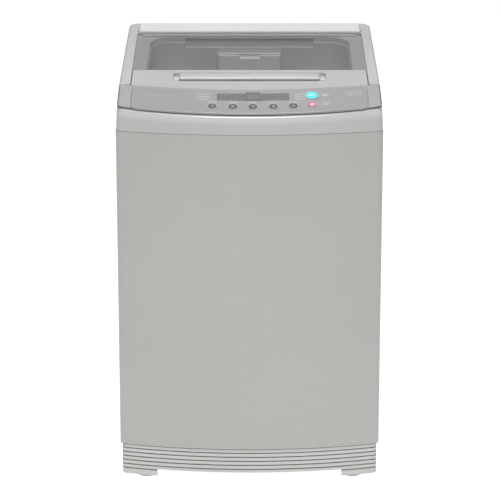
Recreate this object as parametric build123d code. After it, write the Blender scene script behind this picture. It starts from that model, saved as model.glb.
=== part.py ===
from build123d import *
from math import atan2, cos, degrees, hypot, pi, radians, sin, sqrt, tan
import os

# Top load washing machine, in millimetres. X is to the right, Y to the back, Z up.
# The origin is on the floor, under the middle of the machine.

# ---- overall sizes ----
CABINET_WIDTH = 540.0
FRONT_Y = -290.0
REAR_Y = 290.0
SEAM_Z = 753.0
FRONT_RADIUS = 972.5
FRONT_CORNER_R = 15.0
REAR_CORNER_R = 10.0
RUN_CLEARANCE = 0.05
BODY_GAP = 0.4

# ---- cabinet and rear panel ----
SHEET = 1.0
CABINET_BOTTOM_Z = 84.8
CABINET_REAR_INSET = 4.0
REAR_FLANGE = 24.0
REAR_PANEL_SHEET = 1.2
SCREW_HEAD_R = 4.0
SCREW_HEAD_H = 1.8
SCREW_SHANK_R = 1.6

# ---- base ----
BASE_INSET = 4.5
BASE_WALL = 7.5
BASE_BOTTOM_Z = 31.8
PAD_BOTTOM_Z = 17.5
PAD_INNER_X = CABINET_WIDTH / 2 - 78.0
PAD_DEPTH = 62.0
GROOVE_PITCH = 8.9
GROOVE_HEIGHT = 2.4
GROOVE_DEPTH = 4.5
BASE_GROOVES = 6
BASE_LIP_H = 14.0
GUSSET_T = 8.0
GUSSET_SIZE = 90.0
FOOT_X = CABINET_WIDTH / 2 - 54.0
FOOT_Y = 205.0
FOOT_R = 20.0
FOOT_PAD_H = 9.0
FOOT_STUD_R = 6.0
FOOT_STUD_TOP = 62.0
FOOT_NUT_R = 11.0
FOOT_NUT_H = 5.0

# ---- top cover ----
COVER_SIDE_INSET = 0.8
COVER_HEIGHT = 130.0
COVER_TAPER = 2.6
COVER_WALL = 3.0
COVER_CORNER_R = 26.0
LID_SLOPE = 4.79
LID_REF_Y = -173.6
LID_REF_Z = SEAM_Z + 78.3
RAIL_CROWN = 3.0
RAIL_ROUND = 5.0
CROWN_START_Y = -150.0
GROOVE_PLANE_SLOPE = 11.0
CONSOLE_FRONT_Z = SEAM_Z + 43.2
CONSOLE_TOP_Y = -207.0
CONSOLE_TOP_RADIUS = 959.6
CONSOLE_OVERRUN = 0.35
CONSOLE_LAND = 0.8
CONSOLE_SPAN = CABINET_WIDTH / 2 + 30.0
SLOT_HEIGHT = 4.8
SLOT_DEPTH = 8.0
SLOT_HALF_WIDTH = CABINET_WIDTH / 2 + 5.0
SLOT_REACH = 62.0
LIP_ROUND = 7.0
CONSOLE_SKIN = 3.0

# ---- wash opening in the top cover ----
LEDGE_DROP = 8.5
LEDGE_T = 3.0
WELL_HALF_W = CABINET_WIDTH / 2 - 58.0
WELL_FRONT_Y = -165.0
WELL_REAR_Y = 200.0
WELL_CORNER_R = 46.0
WELL_WALL = 2.5
WELL_BOTTOM_Z = SEAM_Z + 23.0
BAND_HALF_W = 139.0
BAND_BOTTOM_Z = SEAM_Z + 79.0
BAND_DEPTH = 9.0
RIM_STEP = 2.5
RIM_STEP_H = 11.0

# ---- lid ----
LID_HALF_W = CABINET_WIDTH / 2 - 29.5
LID_SIDE_GAP = 2.5
LID_FRONT_GAP = 1.0
GLASS_FRONT_Y = -70.0
GLASS_REAR_Y = 212.8
GLASS_T = 4.0
GLASS_DROP = 0.5
LID_STRIP_T = 8.0
LID_HINGE_Y = 217.0
HINGE_DROP = 4.0
HINGE_RAIL_R = 4.0
HINGE_PIN_R = 2.5
HINGE_PIN_LEN = 9.0
GRIP_HALF_W = 157.0
GRIP_FRONT_Y = -148.0
GRIP_REAR_Y = -88.0
GRIP_DEPTH = 20.0
GRIP_WALL = 2.0
GRIP_CORNER_R = 14.0
BAR_FRONT_Y = -127.0
BAR_REAR_Y = -95.0
BAR_T = 7.0
BAR_END_GAP = 13.0
BAR_RISE = 1.0
BAR_TAB_DROP = 6.0
BAR_TAB_T = 4.0
LID_SHELL_FRONT_Y = -170.0
DECK_FRONT_Y = 222.0
DECK_T = 3.5
DECK_HALF_W = LID_HALF_W - 0.2

# ---- control panel ----
PANEL_HALF_W = LID_HALF_W - 2.0
PANEL_S0 = 3.0
PANEL_S1 = 84.5
PANEL_CORNER_R = 12.0
PANEL_WINDOW_HALF_W = PANEL_HALF_W - 9.5
PANEL_WINDOW_S0 = 9.0
PANEL_WINDOW_S1 = 79.5
LENS_X0 = -65.5
LENS_X1 = 79.9
LENS_S0 = 49.3
LENS_S1 = 74.5
SMALL_BUTTON_X = [-74.4, -33.4, 6.8, 47.8, 88.0]
SMALL_BUTTON_S = 28.0
SMALL_BUTTON_R = 9.0
START_BUTTON_X = 125.5
START_BUTTON_S = 62.8
START_BUTTON_R = 12.6
POWER_BUTTON_X = 126.0
POWER_BUTTON_S = 30.9
POWER_BUTTON_R = 9.6
BUTTON_PROUD = 1.4
BUTTON_TRAVEL = 1.2
BUTTON_SKIRT = 8.0
BUTTON_STEM_R = 2.6
BEZEL_WIDTH = 1.6
BEZEL_PROUD = 0.9
BOARD_DEPTH = 15.0
BOARD_T = 1.6
TACT_H = 3.0

# ---- suspended tub ----
TUB_R = 240.0
TUB_WALL = 3.5
TUB_BOTTOM_Z = 290.0
TUB_TOP_Z = SEAM_Z - 8.0
TUB_COVER_TOP_Z = SEAM_Z + 8.0
TUB_COVER_IN_R = TUB_R - 38.0
TUB_COVER_T = 2.5
ROD_X = CABINET_WIDTH / 2 - 56.0
ROD_Y = 204.0
ROD_R = 4.5
ROD_TOP_Z = SEAM_Z - 9.0
ROD_BOTTOM_Z = 206.0
LUG_Z = 300.0
LUG_T = 16.0
LUG_R = 24.0
SPRING_R = 17.0
SPRING_WIRE_R = 1.9
SPRING_TURNS = 7
SPRING_SEAT_T = 4.0
SPRING_LENGTH = 72.0
CUP_R = 20.0
CUP_H = 12.0
BRACKET_T = 2.5
BRACKET_SIZE = 74.0

# ---- drive ----
PLATE_T = 3.0
PLATE_Z = 268.0
PLATE_HALF_X = 178.0
PLATE_HALF_Y = 150.0
BOSS_R = 13.0
CLUTCH_R = 60.0
CLUTCH_BOTTOM_Z = 182.0
CLUTCH_NECK_R = 30.0
SPIN_TUBE_R = 12.5
DRIVE_SHAFT_R = 7.0
BEARING_R = 24.0
BEARING_H = 12.0
PULLEY_Z = 132.0
PULLEY_H = 15.0
PULLEY_R = 76.0
PULLEY_FLANGE = 2.5
MOTOR_PULLEY_R = 27.0
BELT_DEPTH = 7.0
BELT_T = 6.0
BELT_SIDE_GAP = 0.5
MOTOR_X = -105.0
MOTOR_Y = 100.0
MOTOR_R = 58.0
MOTOR_BOTTOM_Z = 158.0
MOTOR_SHAFT_R = 6.0
MOTOR_TOP_Z = 250.0
SPIN_TUBE_BOTTOM_Z = 226.0

# ---- basket and pulsator ----
BASKET_R = TUB_R - 21.0
BASKET_SHEET = 1.0
BASKET_BOTTOM_Z = 318.0
BASKET_BASE_T = 12.0
BASKET_TOP_Z = SEAM_Z - 53.0
HUB_R = 34.0
RING_BOTTOM_Z = SEAM_Z - 61.0
RING_TOP_Z = SEAM_Z - 17.0
RING_IN_R = BASKET_R - 23.0
RING_WALL = 2.5
PULSATOR_R = BASKET_R - 51.0
PULSATOR_RIM_H = 9.0
PULSATOR_DOME_H = 34.0
PULSATOR_DOME_R = 52.0
PULSATOR_FINS = 6
FILTER_W = 96.0
FILTER_H = 150.0
FILTER_D = 20.0
FILTER_TOP_Z = SEAM_Z - 73.0

# ---- water ----
DRAWER_HALF_W = 66.5
DRAWER_BOTTOM_Z = SEAM_Z + 29.0
DRAWER_TOP_Z = SEAM_Z + 65.0
DRAWER_FRONT_Y = 186.0
DRAWER_LENGTH = 66.0
DRAWER_WALL = 1.8
DRAWER_GAP = 0.6
HOUSING_WALL = 2.0
INLET_X = -165.0
INLET_Z = SEAM_Z + 73.0
INLET_PORT_R = 13.2
INLET_PORT_LEN = 16.0
INLET_PORT_BORE = 8.0
NICHE_DEPTH = 24.0
NICHE_HALF = 24.0
VALVE_X = 150.0
VALVE_Y = 60.0
VALVE_Z = 250.0
VALVE_R = 20.0
VALVE_WALL = 3.0
VALVE_LEN = 66.0
NECK_R = 14.0
NECK_WALL = 2.5
VALVE_OUTLET_Z = 206.0
BELLOWS_BOTTOM_Z = 152.0
BELLOWS_R = 18.0
DRAIN_Z = 60.0
DRAIN_R = 15.0
SPIGOT_R = 14.0
ELBOW_SWELL = 1.0
DRAIN_NICHE = 27.0
ACTUATOR_SIZE = (50.0, 56.0, 44.0)
PLUNGER_TRAVEL = 14.0
HOSE_R = 8.0
HOSE_DROP_X = -40.0
PRESSURE_X = 112.0
PRESSURE_Y = 231.0
PRESSURE_TOP_Z = SEAM_Z + 69.0
AIR_TRAP_TOP_Z = 380.0
AIR_TRAP_R = 18.0
CORD_X = CABINET_WIDTH / 2 - 65.0
CORD_Z = SEAM_Z - 53.0
GLAND_R = 9.0
BUTTON_NAMES = [
    "program_button", "level_button", "rinse_button", "spin_button", "delay_button",
    "start_button", "power_button",
]


# ---- helpers ----
def save(shape, node):
    """Writes one sub-part to its own file."""
    shape.label = node
    export_step(shape, f"parts/{node}.step")


def block(x0, x1, y0, y1, z0, z1):
    """A box between two corners."""
    centre = ((x0 + x1) / 2, (y0 + y1) / 2, (z0 + z1) / 2)
    return Pos(*centre) * Box(x1 - x0, y1 - y0, z1 - z0)


def rod(x, y, z0, z1, radius):
    """An upright cylinder from z0 to z1."""
    return Pos(x, y, (z0 + z1) / 2) * Cylinder(radius, z1 - z0)


def tube(x, y, z0, z1, outer, inner):
    """An upright pipe from z0 to z1."""
    return rod(x, y, z0, z1, outer) - rod(x, y, z0, z1, inner)


def rod_y(x, z, y0, y1, radius):
    """A cylinder lying along Y."""
    return Pos(x, (y0 + y1) / 2, z) * Rot(90, 0, 0) * Cylinder(radius, y1 - y0)


def rod_x(y, z, x0, x1, radius):
    """A cylinder lying along X."""
    return Pos((x0 + x1) / 2, y, z) * Rot(0, 90, 0) * Cylinder(radius, x1 - x0)


def bow(x, front, radius):
    """Y of a circular bow whose foremost point is (0, front)."""
    return front + radius - sqrt(radius**2 - x**2)


def plan_face(half_w, front, back, radius, front_r, rear_r):
    """Plan outline of the machine: bowed front, straight sides and back, rounded corners."""
    side_y = bow(half_w, front, radius)
    outline = [
        ThreePointArc((-half_w, side_y), (0, front), (half_w, side_y)),
        Line((half_w, side_y), (half_w, back)),
        Line((half_w, back), (-half_w, back)),
        Line((-half_w, back), (-half_w, side_y)),
    ]
    face = make_face(Curve() + outline)
    corners = face.vertices().sort_by(Axis.Y)
    face = fillet(corners[:2], front_r)
    corners = [v for v in face.vertices() if abs(v.Y - back) < 0.01]
    return fillet(corners, rear_r)


def plan_block(inset, z0, z1, rear_inset=0.0):
    """The cabinet's plan, inset all round, raised from z0 to z1."""
    face = plan_face(
        CABINET_WIDTH / 2 - inset,
        FRONT_Y + inset,
        REAR_Y - inset - rear_inset,
        FRONT_RADIUS - inset,
        FRONT_CORNER_R - min(inset, FRONT_CORNER_R / 2),
        REAR_CORNER_R - min(inset, REAR_CORNER_R / 2),
    )
    return extrude(Pos(0, 0, z0) * face, z1 - z0)


def corners_of(x, y):
    """The four corner places, front pair first."""
    return [(-x, -y), (x, -y), (-x, y), (x, y)]


# ---- surfaces of the sloping top ----
def lid_z(y, rise=0.0):
    """Height of the lid's plane at y, plus a rise measured square to it."""
    slope = radians(LID_SLOPE)
    return LID_REF_Z + (y - LID_REF_Y) * tan(slope) + rise / cos(slope)


def lid_prism(face_points, low, high):
    """A slab between two levels square to the lid's plane, cut to a straight-sided YZ strip."""
    x0, x1, y0, y1 = face_points
    slope = radians(LID_SLOPE)
    profile = [
        (y0 - low * sin(slope), lid_z(y0) + low * cos(slope)),
        (y1 - low * sin(slope), lid_z(y1) + low * cos(slope)),
        (y1 - high * sin(slope), lid_z(y1) + high * cos(slope)),
        (y0 - high * sin(slope), lid_z(y0) + high * cos(slope)),
    ]
    return yz_prism(profile, x0, x1)


def yz_prism(points, x0, x1):
    """A prism along X whose section is a polygon of (y, z) points."""
    wire = Polyline(*[(x0, y, z) for y, z in points], close=True)
    return extrude(make_face(wire), x1 - x0, dir=(1, 0, 0))


def console_front(x):
    """Front lower edge of the sloping console at x: the bowed front, rising to the sides."""
    y = bow(x, FRONT_Y, FRONT_RADIUS)
    return (x, y, CONSOLE_FRONT_Z + (y - FRONT_Y) * tan(radians(GROOVE_PLANE_SLOPE)))


def console_top(x):
    """Rear upper edge of the console at x, which is the lid's front line."""
    y = bow(x, CONSOLE_TOP_Y, CONSOLE_TOP_RADIUS)
    return (x, y, lid_z(y))


def console_under(x):
    """A point below and before the console's front edge, on the same straight ruling."""
    front = console_front(x)
    top = console_top(x)
    return tuple(f + (f - t) * CONSOLE_OVERRUN for f, t in zip(front, top))


def console_wire(ends, back_y):
    """Closed flat outline: a bow through three points, then straight back to back_y."""
    left, middle, right = ends
    rise = (right[2] - middle[2]) / (right[1] - middle[1])
    back_z = middle[2] + (back_y - middle[1]) * rise
    a = (left[0], back_y, back_z)
    b = (right[0], back_y, back_z)
    edges = [ThreePointArc(left, middle, right), Line(right, b), Line(b, a), Line(a, left)]
    return Wire(edges)


def console_keep(drop=0.0):
    """Everything under the console's ruled slope, lowered by drop."""
    spots = (-CONSOLE_SPAN, 0.0, CONSOLE_SPAN)
    lower = console_wire([console_under(x) for x in spots], CROWN_START_Y)
    upper = console_wire([console_top(x) for x in spots], CROWN_START_Y)
    wedge = Solid.make_loft([lower, upper], ruled=True)
    under = extrude(make_face(lower.edges()), 90, dir=(0, 0, -1))
    return Pos(0, 0, -drop) * (Part() + wedge + under)


def console_frame(x, s):
    """Local plane on the console at x, s millimetres up the slope from its front edge."""
    front = Vector(*console_front(x))
    top = Vector(*console_top(x))
    up = (top - front).normalized()
    beside = Vector(*console_front(x + 1.0)) - front
    normal = beside.cross(up).normalized()
    return Plane(origin=front + up * s, x_dir=up.cross(normal), z_dir=normal)


def console_patch(x0, x1, s0, s1, corner_r, low, high):
    """A panel piece with bowed front and back edges, between two depths under the slope."""
    slope = atan2(console_top(0)[2] - console_front(0)[2], console_top(0)[1] - console_front(0)[1])
    y0 = FRONT_Y + s0 * cos(slope)
    y1 = FRONT_Y + s1 * cos(slope)
    middle = (x0 + x1) / 2
    outline = [
        ThreePointArc(*[(x, bow(x, y0, FRONT_RADIUS)) for x in (x0, middle, x1)]),
        Line((x1, bow(x1, y0, FRONT_RADIUS)), (x1, bow(x1, y1, CONSOLE_TOP_RADIUS))),
        ThreePointArc(*[(x, bow(x, y1, CONSOLE_TOP_RADIUS)) for x in (x1, middle, x0)]),
        Line((x0, bow(x0, y1, CONSOLE_TOP_RADIUS)), (x0, bow(x0, y0, FRONT_RADIUS))),
    ]
    face = make_face(Curve() + outline)
    face = fillet(face.vertices(), corner_r)
    prism = extrude(Pos(0, 0, CONSOLE_FRONT_Z - 60) * face, 140)
    return prism & (console_keep(low) - console_keep(high))


# ---- cabinet group ----
def make_cabinet():
    """Folded sheet wrap: bowed front, two sides and inward flanges at the back."""
    z0 = CABINET_BOTTOM_Z
    shell = plan_block(0, z0, SEAM_Z, CABINET_REAR_INSET)
    shell -= plan_block(SHEET, z0 - 1, SEAM_Z + 1, CABINET_REAR_INSET)
    half = CABINET_WIDTH / 2 - REAR_FLANGE
    shell -= block(-half, half, REAR_Y - 30, REAR_Y + 1, z0 - 1, SEAM_Z + 1)
    return shell


def rear_screw_places():
    """Screw centres down both edges of the rear panel and along its foot and head."""
    x = CABINET_WIDTH / 2 - REAR_FLANGE / 2
    levels = [CABINET_BOTTOM_Z + 25 + i * 152 for i in range(5)]
    return [(sx * x, z) for sx in (-1, 1) for z in levels]


def make_rear_panel():
    """Flat rear sheet with pressed ribs, laid on the cabinet's rear flanges."""
    y = REAR_Y - CABINET_REAR_INSET
    half = CABINET_WIDTH / 2 - 3
    panel = block(-half, half, y, y + REAR_PANEL_SHEET, CABINET_BOTTOM_Z, SEAM_Z)
    for i in range(-2, 3):
        rib = block(i * 76 - 12, i * 76 + 12, y - 3, y, 250, 690)
        panel += rib
    for x, z in rear_screw_places():
        panel -= rod_y(x, z, y - 1, y + 3, SCREW_SHANK_R)
    panel -= rod_y(CORD_X, CORD_Z, y - 4, y + 4, GLAND_R)
    return panel


def make_rear_screws():
    """Pan head screws of the rear panel."""
    y = REAR_Y - CABINET_REAR_INSET + REAR_PANEL_SHEET
    screws = Part()
    for x, z in rear_screw_places():
        head = rod_y(x, z, y, y + SCREW_HEAD_H, SCREW_HEAD_R)
        head -= block(x - 2.6, x + 2.6, y + SCREW_HEAD_H - 0.7, y + SCREW_HEAD_H + 1, z - 0.5, z + 0.5)
        head -= block(x - 0.5, x + 0.5, y + SCREW_HEAD_H - 0.7, y + SCREW_HEAD_H + 1, z - 2.6, z + 2.6)
        screws += head + rod_y(x, z, y - REAR_PANEL_SHEET, y, SCREW_SHANK_R)
    return screws


def make_cord_gland():
    """Bush in the rear panel where a supply lead would enter."""
    y = REAR_Y - CABINET_REAR_INSET
    gland = rod_y(CORD_X, CORD_Z, y - 10, y + REAR_PANEL_SHEET, GLAND_R)
    gland += rod_y(CORD_X, CORD_Z, y + REAR_PANEL_SHEET, REAR_Y - 0.5, GLAND_R + 3)
    gland += rod_y(CORD_X, CORD_Z, y - 10, y - 4, GLAND_R + 2)
    return gland - rod_y(CORD_X, CORD_Z, y - 20, y + 20, GLAND_R - 5)


def make_base():
    """Moulded plinth: grooved skirt, corner pads, a lip inside the cabinet and foot bosses."""
    inset = BASE_INSET
    top = CABINET_BOTTOM_Z
    skirt = plan_block(inset, BASE_BOTTOM_Z, top)
    skirt -= plan_block(inset + BASE_WALL, BASE_BOTTOM_Z - 1, top + 1)
    lip_in = SHEET + 0.5
    lip = plan_block(lip_in, top - 6, top + BASE_LIP_H, CABINET_REAR_INSET)
    lip -= plan_block(inset + BASE_WALL, top - 7, top + BASE_LIP_H + 1)
    lip -= plan_block(0, top - 7, top) - plan_block(inset, top - 7, top)
    base = skirt + lip
    pads = plan_block(inset, PAD_BOTTOM_Z, BASE_BOTTOM_Z)
    pads -= plan_block(inset + BASE_WALL, PAD_BOTTOM_Z - 1, BASE_BOTTOM_Z + 1)
    pads -= block(-PAD_INNER_X, PAD_INNER_X, REAR_Y * -2, REAR_Y * 2, PAD_BOTTOM_Z - 1, BASE_BOTTOM_Z + 1)
    keep_y = -FOOT_Y + PAD_DEPTH / 2 + 8
    pads -= block(-CABINET_WIDTH, CABINET_WIDTH, keep_y, -keep_y, PAD_BOTTOM_Z - 1, BASE_BOTTOM_Z + 1)
    base += pads
    for x, y in corners_of(FOOT_X, FOOT_Y):
        gusset = block(
            x - GUSSET_SIZE / 2, x + GUSSET_SIZE / 2, y - GUSSET_SIZE / 2, y + GUSSET_SIZE / 2,
            BASE_BOTTOM_Z, BASE_BOTTOM_Z + GUSSET_T,
        )
        base += gusset & plan_block(inset + 1, BASE_BOTTOM_Z, top)
        base += rod(x, y, PAD_BOTTOM_Z + 2, FOOT_STUD_TOP - 8, FOOT_STUD_R + 7)
    for i in range(BASE_GROOVES + 1):
        z = top - 1.5 - i * GROOVE_PITCH
        ring = plan_block(inset - 2, z - GROOVE_HEIGHT / 2, z + GROOVE_HEIGHT / 2)
        ring -= plan_block(inset + GROOVE_DEPTH, z - 5, z + 5)
        base -= ring
    for x, y in corners_of(FOOT_X, FOOT_Y):
        base -= rod(x, y, 0, top, FOOT_STUD_R + RUN_CLEARANCE)
    niche_y = REAR_Y - DRAIN_NICHE - 6
    niche = block(VALVE_X - 26, VALVE_X + 26, niche_y, REAR_Y + 5, DRAIN_Z - 24, DRAIN_Z + 22)
    niche_wall = block(
        VALVE_X - 28, VALVE_X + 28, niche_y - 3, REAR_Y - inset - 1, DRAIN_Z - 26, DRAIN_Z + 24,
    )
    base += niche_wall & plan_block(inset + 1, BASE_BOTTOM_Z, top)
    base -= niche
    base -= rod_y(VALVE_X, DRAIN_Z, REAR_Y - 60, REAR_Y, DRAIN_R + 0.2)
    return base


def make_foot(x, y):
    """Levelling foot: rubber pad, hexagon and threaded stud."""
    pad = rod(x, y, 0, FOOT_PAD_H, FOOT_R)
    pad = fillet(pad.edges().sort_by(Axis.Z)[-1], 2.5)
    nut = extrude(Pos(x, y, FOOT_PAD_H) * RegularPolygon(FOOT_NUT_R, 6), FOOT_NUT_H)
    return pad + nut + rod(x, y, FOOT_PAD_H, FOOT_STUD_TOP, FOOT_STUD_R)


# ---- top cover group ----
def cover_plan(inset, z0, height):
    """The top cover's plan, drawn in as it rises."""
    face = plan_face(
        CABINET_WIDTH / 2 - COVER_SIDE_INSET - inset,
        FRONT_Y + inset,
        REAR_Y - inset,
        FRONT_RADIUS - inset,
        FRONT_CORNER_R - min(inset, FRONT_CORNER_R / 2),
        COVER_CORNER_R - inset,
    )
    return extrude(Pos(0, 0, z0) * face, height, taper=COVER_TAPER)


def rail_prism(rise=0.0):
    """Everything under the crowned line of the side rails behind the console."""
    y0 = CROWN_START_Y
    z0 = lid_z(y0) + rise
    z1 = lid_z(REAR_Y) + rise
    ym = (y0 + REAR_Y) / 2
    zm = (z0 + z1) / 2 + RAIL_CROWN
    edges = [
        Line((-CONSOLE_SPAN, y0, SEAM_Z - 30), (-CONSOLE_SPAN, y0, z0)),
        ThreePointArc((-CONSOLE_SPAN, y0, z0), (-CONSOLE_SPAN, ym, zm), (-CONSOLE_SPAN, REAR_Y, z1)),
        Line((-CONSOLE_SPAN, REAR_Y, z1), (-CONSOLE_SPAN, REAR_Y, SEAM_Z - 30)),
        Line((-CONSOLE_SPAN, REAR_Y, SEAM_Z - 30), (-CONSOLE_SPAN, y0, SEAM_Z - 30)),
    ]
    return extrude(make_face(Curve() + edges), 2 * CONSOLE_SPAN, dir=(1, 0, 0))


def slot_slab(low, high, reach):
    """A slab along the tilted level of the slot under the console, from before the front back by reach."""
    rise = tan(radians(GROOVE_PLANE_SLOPE))
    y0 = FRONT_Y - 20
    y1 = FRONT_Y + reach
    z0 = CONSOLE_FRONT_Z + (y0 - FRONT_Y) * rise
    z1 = CONSOLE_FRONT_Z + (y1 - FRONT_Y) * rise
    points = [(y0, z0 + low), (y1, z1 + low), (y1, z1 + high), (y0, z0 + high)]
    return yz_prism(points, -SLOT_HALF_WIDTH, SLOT_HALF_WIDTH)


def well_face(inset):
    """Plan of the wash opening, grown by minus inset."""
    width = 2 * (WELL_HALF_W - inset)
    depth = WELL_REAR_Y - WELL_FRONT_Y - 2 * inset
    middle = (WELL_REAR_Y + WELL_FRONT_Y) / 2
    return Pos(0, middle) * RectangleRounded(width, depth, WELL_CORNER_R - inset)


def well_block(inset, z0, z1):
    return extrude(Pos(0, 0, z0) * well_face(inset), z1 - z0)


def lid_front_prism(gap, low, high, y_back):
    """Slab parallel to the lid from its bowed front line to y_back, widened by gap."""
    half = LID_HALF_W + (LID_SIDE_GAP if gap else 0)
    y_front = CONSOLE_TOP_Y + CONSOLE_LAND + (0 if gap else LID_FRONT_GAP)
    side_y = bow(half, y_front, CONSOLE_TOP_RADIUS)
    outline = [
        ThreePointArc((-half, side_y), (0, y_front), (half, side_y)),
        Line((half, side_y), (half, y_back)),
        Line((half, y_back), (-half, y_back)),
        Line((-half, y_back), (-half, side_y)),
    ]
    plan = extrude(Pos(0, 0, SEAM_Z) * make_face(Curve() + outline), 160)
    return plan & lid_prism((-CONSOLE_SPAN, CONSOLE_SPAN, FRONT_Y + 30, REAR_Y + 10), low, high)


def make_top_cover():
    """Moulded top: side rails, console seat, ledge round the wash opening, and the well."""
    outer = (console_keep() + rail_prism()) & cover_plan(0, SEAM_Z, COVER_HEIGHT)
    outer = fillet(outer.edges().filter_by(is_rail_edge), RAIL_ROUND)
    inner = cover_plan(COVER_WALL, SEAM_Z - 1, COVER_HEIGHT)
    under = -LEDGE_DROP - LEDGE_T
    console_void = console_keep(2 * CONSOLE_SKIN + 1)
    low_void = lid_prism((-CONSOLE_SPAN, CONSOLE_SPAN, FRONT_Y - 40, REAR_Y + 20), under - 150, under)
    recess = lid_front_prism(True, under, 40, DECK_FRONT_Y)
    top_level = SEAM_Z + COVER_HEIGHT + 17
    void = (low_void & (console_void + rail_prism())) + (console_void - Pos(0, -COVER_WALL, 0) * recess)
    cover = outer - (inner & void)
    rib = cover_plan(COVER_WALL - 0.5, SEAM_Z, COVER_HEIGHT)
    rib -= cover_plan(SLOT_DEPTH + 3, SEAM_Z - 1, COVER_HEIGHT + 2)
    cover += rib & slot_slab(-SLOT_HEIGHT - 12, 1.5, SLOT_REACH + 28) & console_keep(1)
    ring = cover_plan(-5, SEAM_Z, COVER_HEIGHT)
    ring -= cover_plan(SLOT_DEPTH, SEAM_Z - 1, COVER_HEIGHT + 2)
    cover -= ring & slot_slab(-SLOT_HEIGHT, 0, SLOT_REACH)
    cover = fillet(cover.edges().filter_by(is_lip_edge), LIP_ROUND)
    cover -= lid_front_prism(True, -LEDGE_DROP, 40, DECK_FRONT_Y)
    cover += ledge_solid() & well_block(-WELL_WALL, WELL_BOTTOM_Z, top_level)
    rim_wall = ledge_solid() & rim_band(RIM_STEP_H + WELL_WALL)
    cover += rim_wall & well_block(-WELL_WALL - RIM_STEP, WELL_BOTTOM_Z, top_level)
    cover -= well_block(0, WELL_BOTTOM_Z - 5, top_level)
    cover -= rim_band(RIM_STEP_H) & well_block(-RIM_STEP, WELL_BOTTOM_Z, top_level)
    cover -= block(-BAND_HALF_W, BAND_HALF_W, WELL_REAR_Y - 5, WELL_REAR_Y + BAND_DEPTH,
                   BAND_BOTTOM_Z, lid_z(WELL_REAR_Y, -LEDGE_DROP - LEDGE_T))
    cover += band_back()
    deck_half = DECK_HALF_W + BODY_GAP
    cover -= lid_prism((-deck_half, deck_half, DECK_FRONT_Y - 0.1, REAR_Y + 20), -DECK_T, 40)
    cover -= lid_prism((-DECK_HALF_W + 20, DECK_HALF_W - 20, DECK_FRONT_Y + 14, REAR_Y - 22), -60, 0)
    cover -= housing_space(BODY_GAP)
    cover -= console_patch(-PANEL_HALF_W - 0.4, PANEL_HALF_W + 0.4, PANEL_S0 - 0.4, PANEL_S1 + 0.4,
                           PANEL_CORNER_R, -8, CONSOLE_SKIN)
    cover -= console_patch(-PANEL_WINDOW_HALF_W, PANEL_WINDOW_HALF_W, PANEL_WINDOW_S0, PANEL_WINDOW_S1,
                           PANEL_CORNER_R, -8, 3 * CONSOLE_SKIN)
    y, z = hinge_axis()
    cover -= rod_x(y, z, -LID_HALF_W - HINGE_PIN_LEN - 1, LID_HALF_W + HINGE_PIN_LEN + 1,
                   HINGE_PIN_R + RUN_CLEARANCE)
    cover -= rod_y(INLET_X, INLET_Z, REAR_Y - NICHE_DEPTH, REAR_Y + 5, NICHE_HALF)
    return cover


def is_rail_edge(edge):
    """True for the upper outer edges of the side rails."""
    return abs(edge.center().X) > CABINET_WIDTH / 2 - 15 and edge.bounding_box().min.Z > SEAM_Z + 30


def is_lip_edge(edge):
    """True for the bowed front edge of the apron, under the slot."""
    level = CONSOLE_FRONT_Z - SLOT_HEIGHT
    box = edge.bounding_box()
    is_long = edge.length > SLOT_HALF_WIDTH
    is_level = abs(box.min.Z - level) < 2
    return is_long and is_level and box.max.Y < FRONT_Y + SLOT_DEPTH * 5 and box.min.Y < FRONT_Y + 3


def ledge_solid():
    """Space below the ledge's top plane."""
    return lid_prism((-CONSOLE_SPAN, CONSOLE_SPAN, FRONT_Y + 30, REAR_Y), -LEDGE_DROP - 140, -LEDGE_DROP)


def rim_band(depth):
    """Space from a depth under the ledge's top upwards, square to the lid's plane."""
    return lid_prism((-CONSOLE_SPAN, CONSOLE_SPAN, FRONT_Y, REAR_Y), -LEDGE_DROP - depth, COVER_WALL)


def band_back():
    """Shallow box behind the rear wall that closes the recessed band."""
    y0, y1 = WELL_REAR_Y + WELL_WALL, WELL_REAR_Y + BAND_DEPTH + 2
    top = lid_z(WELL_REAR_Y, -LEDGE_DROP - 1)
    shell = block(-BAND_HALF_W - 2, BAND_HALF_W + 2, y0, y1, BAND_BOTTOM_Z - 2, top)
    return shell - block(-BAND_HALF_W, BAND_HALF_W, y0 - 1, y1 - 2, BAND_BOTTOM_Z, top + 1)


def housing_space(gap):
    """Outer shape of the dispenser housing, grown by gap."""
    half = DRAWER_HALF_W + DRAWER_GAP + HOUSING_WALL + gap
    return block(-half, half, DRAWER_FRONT_Y + 2, DRAWER_FRONT_Y + DRAWER_LENGTH + 8 + gap,
                 DRAWER_BOTTOM_Z - DRAWER_GAP - HOUSING_WALL - gap,
                 DRAWER_TOP_Z + DRAWER_GAP + HOUSING_WALL + gap)


def hinge_axis():
    """Y and Z of the lid's hinge axis."""
    slope = radians(LID_SLOPE)
    return LID_HINGE_Y + HINGE_DROP * sin(slope), lid_z(LID_HINGE_Y) - HINGE_DROP * cos(slope)


def make_deck_cover():
    """Loose plate behind the lid, over the water inlet and dispenser."""
    plate = lid_prism((-DECK_HALF_W, DECK_HALF_W, DECK_FRONT_Y, REAR_Y + 10), -DECK_T, 0)
    return plate & cover_plan(0, SEAM_Z, COVER_HEIGHT)


def make_control_panel():
    """Bowed fascia with a display window and button holes."""
    panel = console_patch(-PANEL_HALF_W, PANEL_HALF_W, PANEL_S0, PANEL_S1, PANEL_CORNER_R, 0, CONSOLE_SKIN)
    panel -= console_patch(LENS_X0, LENS_X1, LENS_S0, LENS_S1, 2, -2, 2 * CONSOLE_SKIN)
    for x, s, radius in button_places():
        hole = console_frame(x, s) * Cylinder(radius + BEZEL_WIDTH, 30)
        panel -= hole
    return panel


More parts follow.
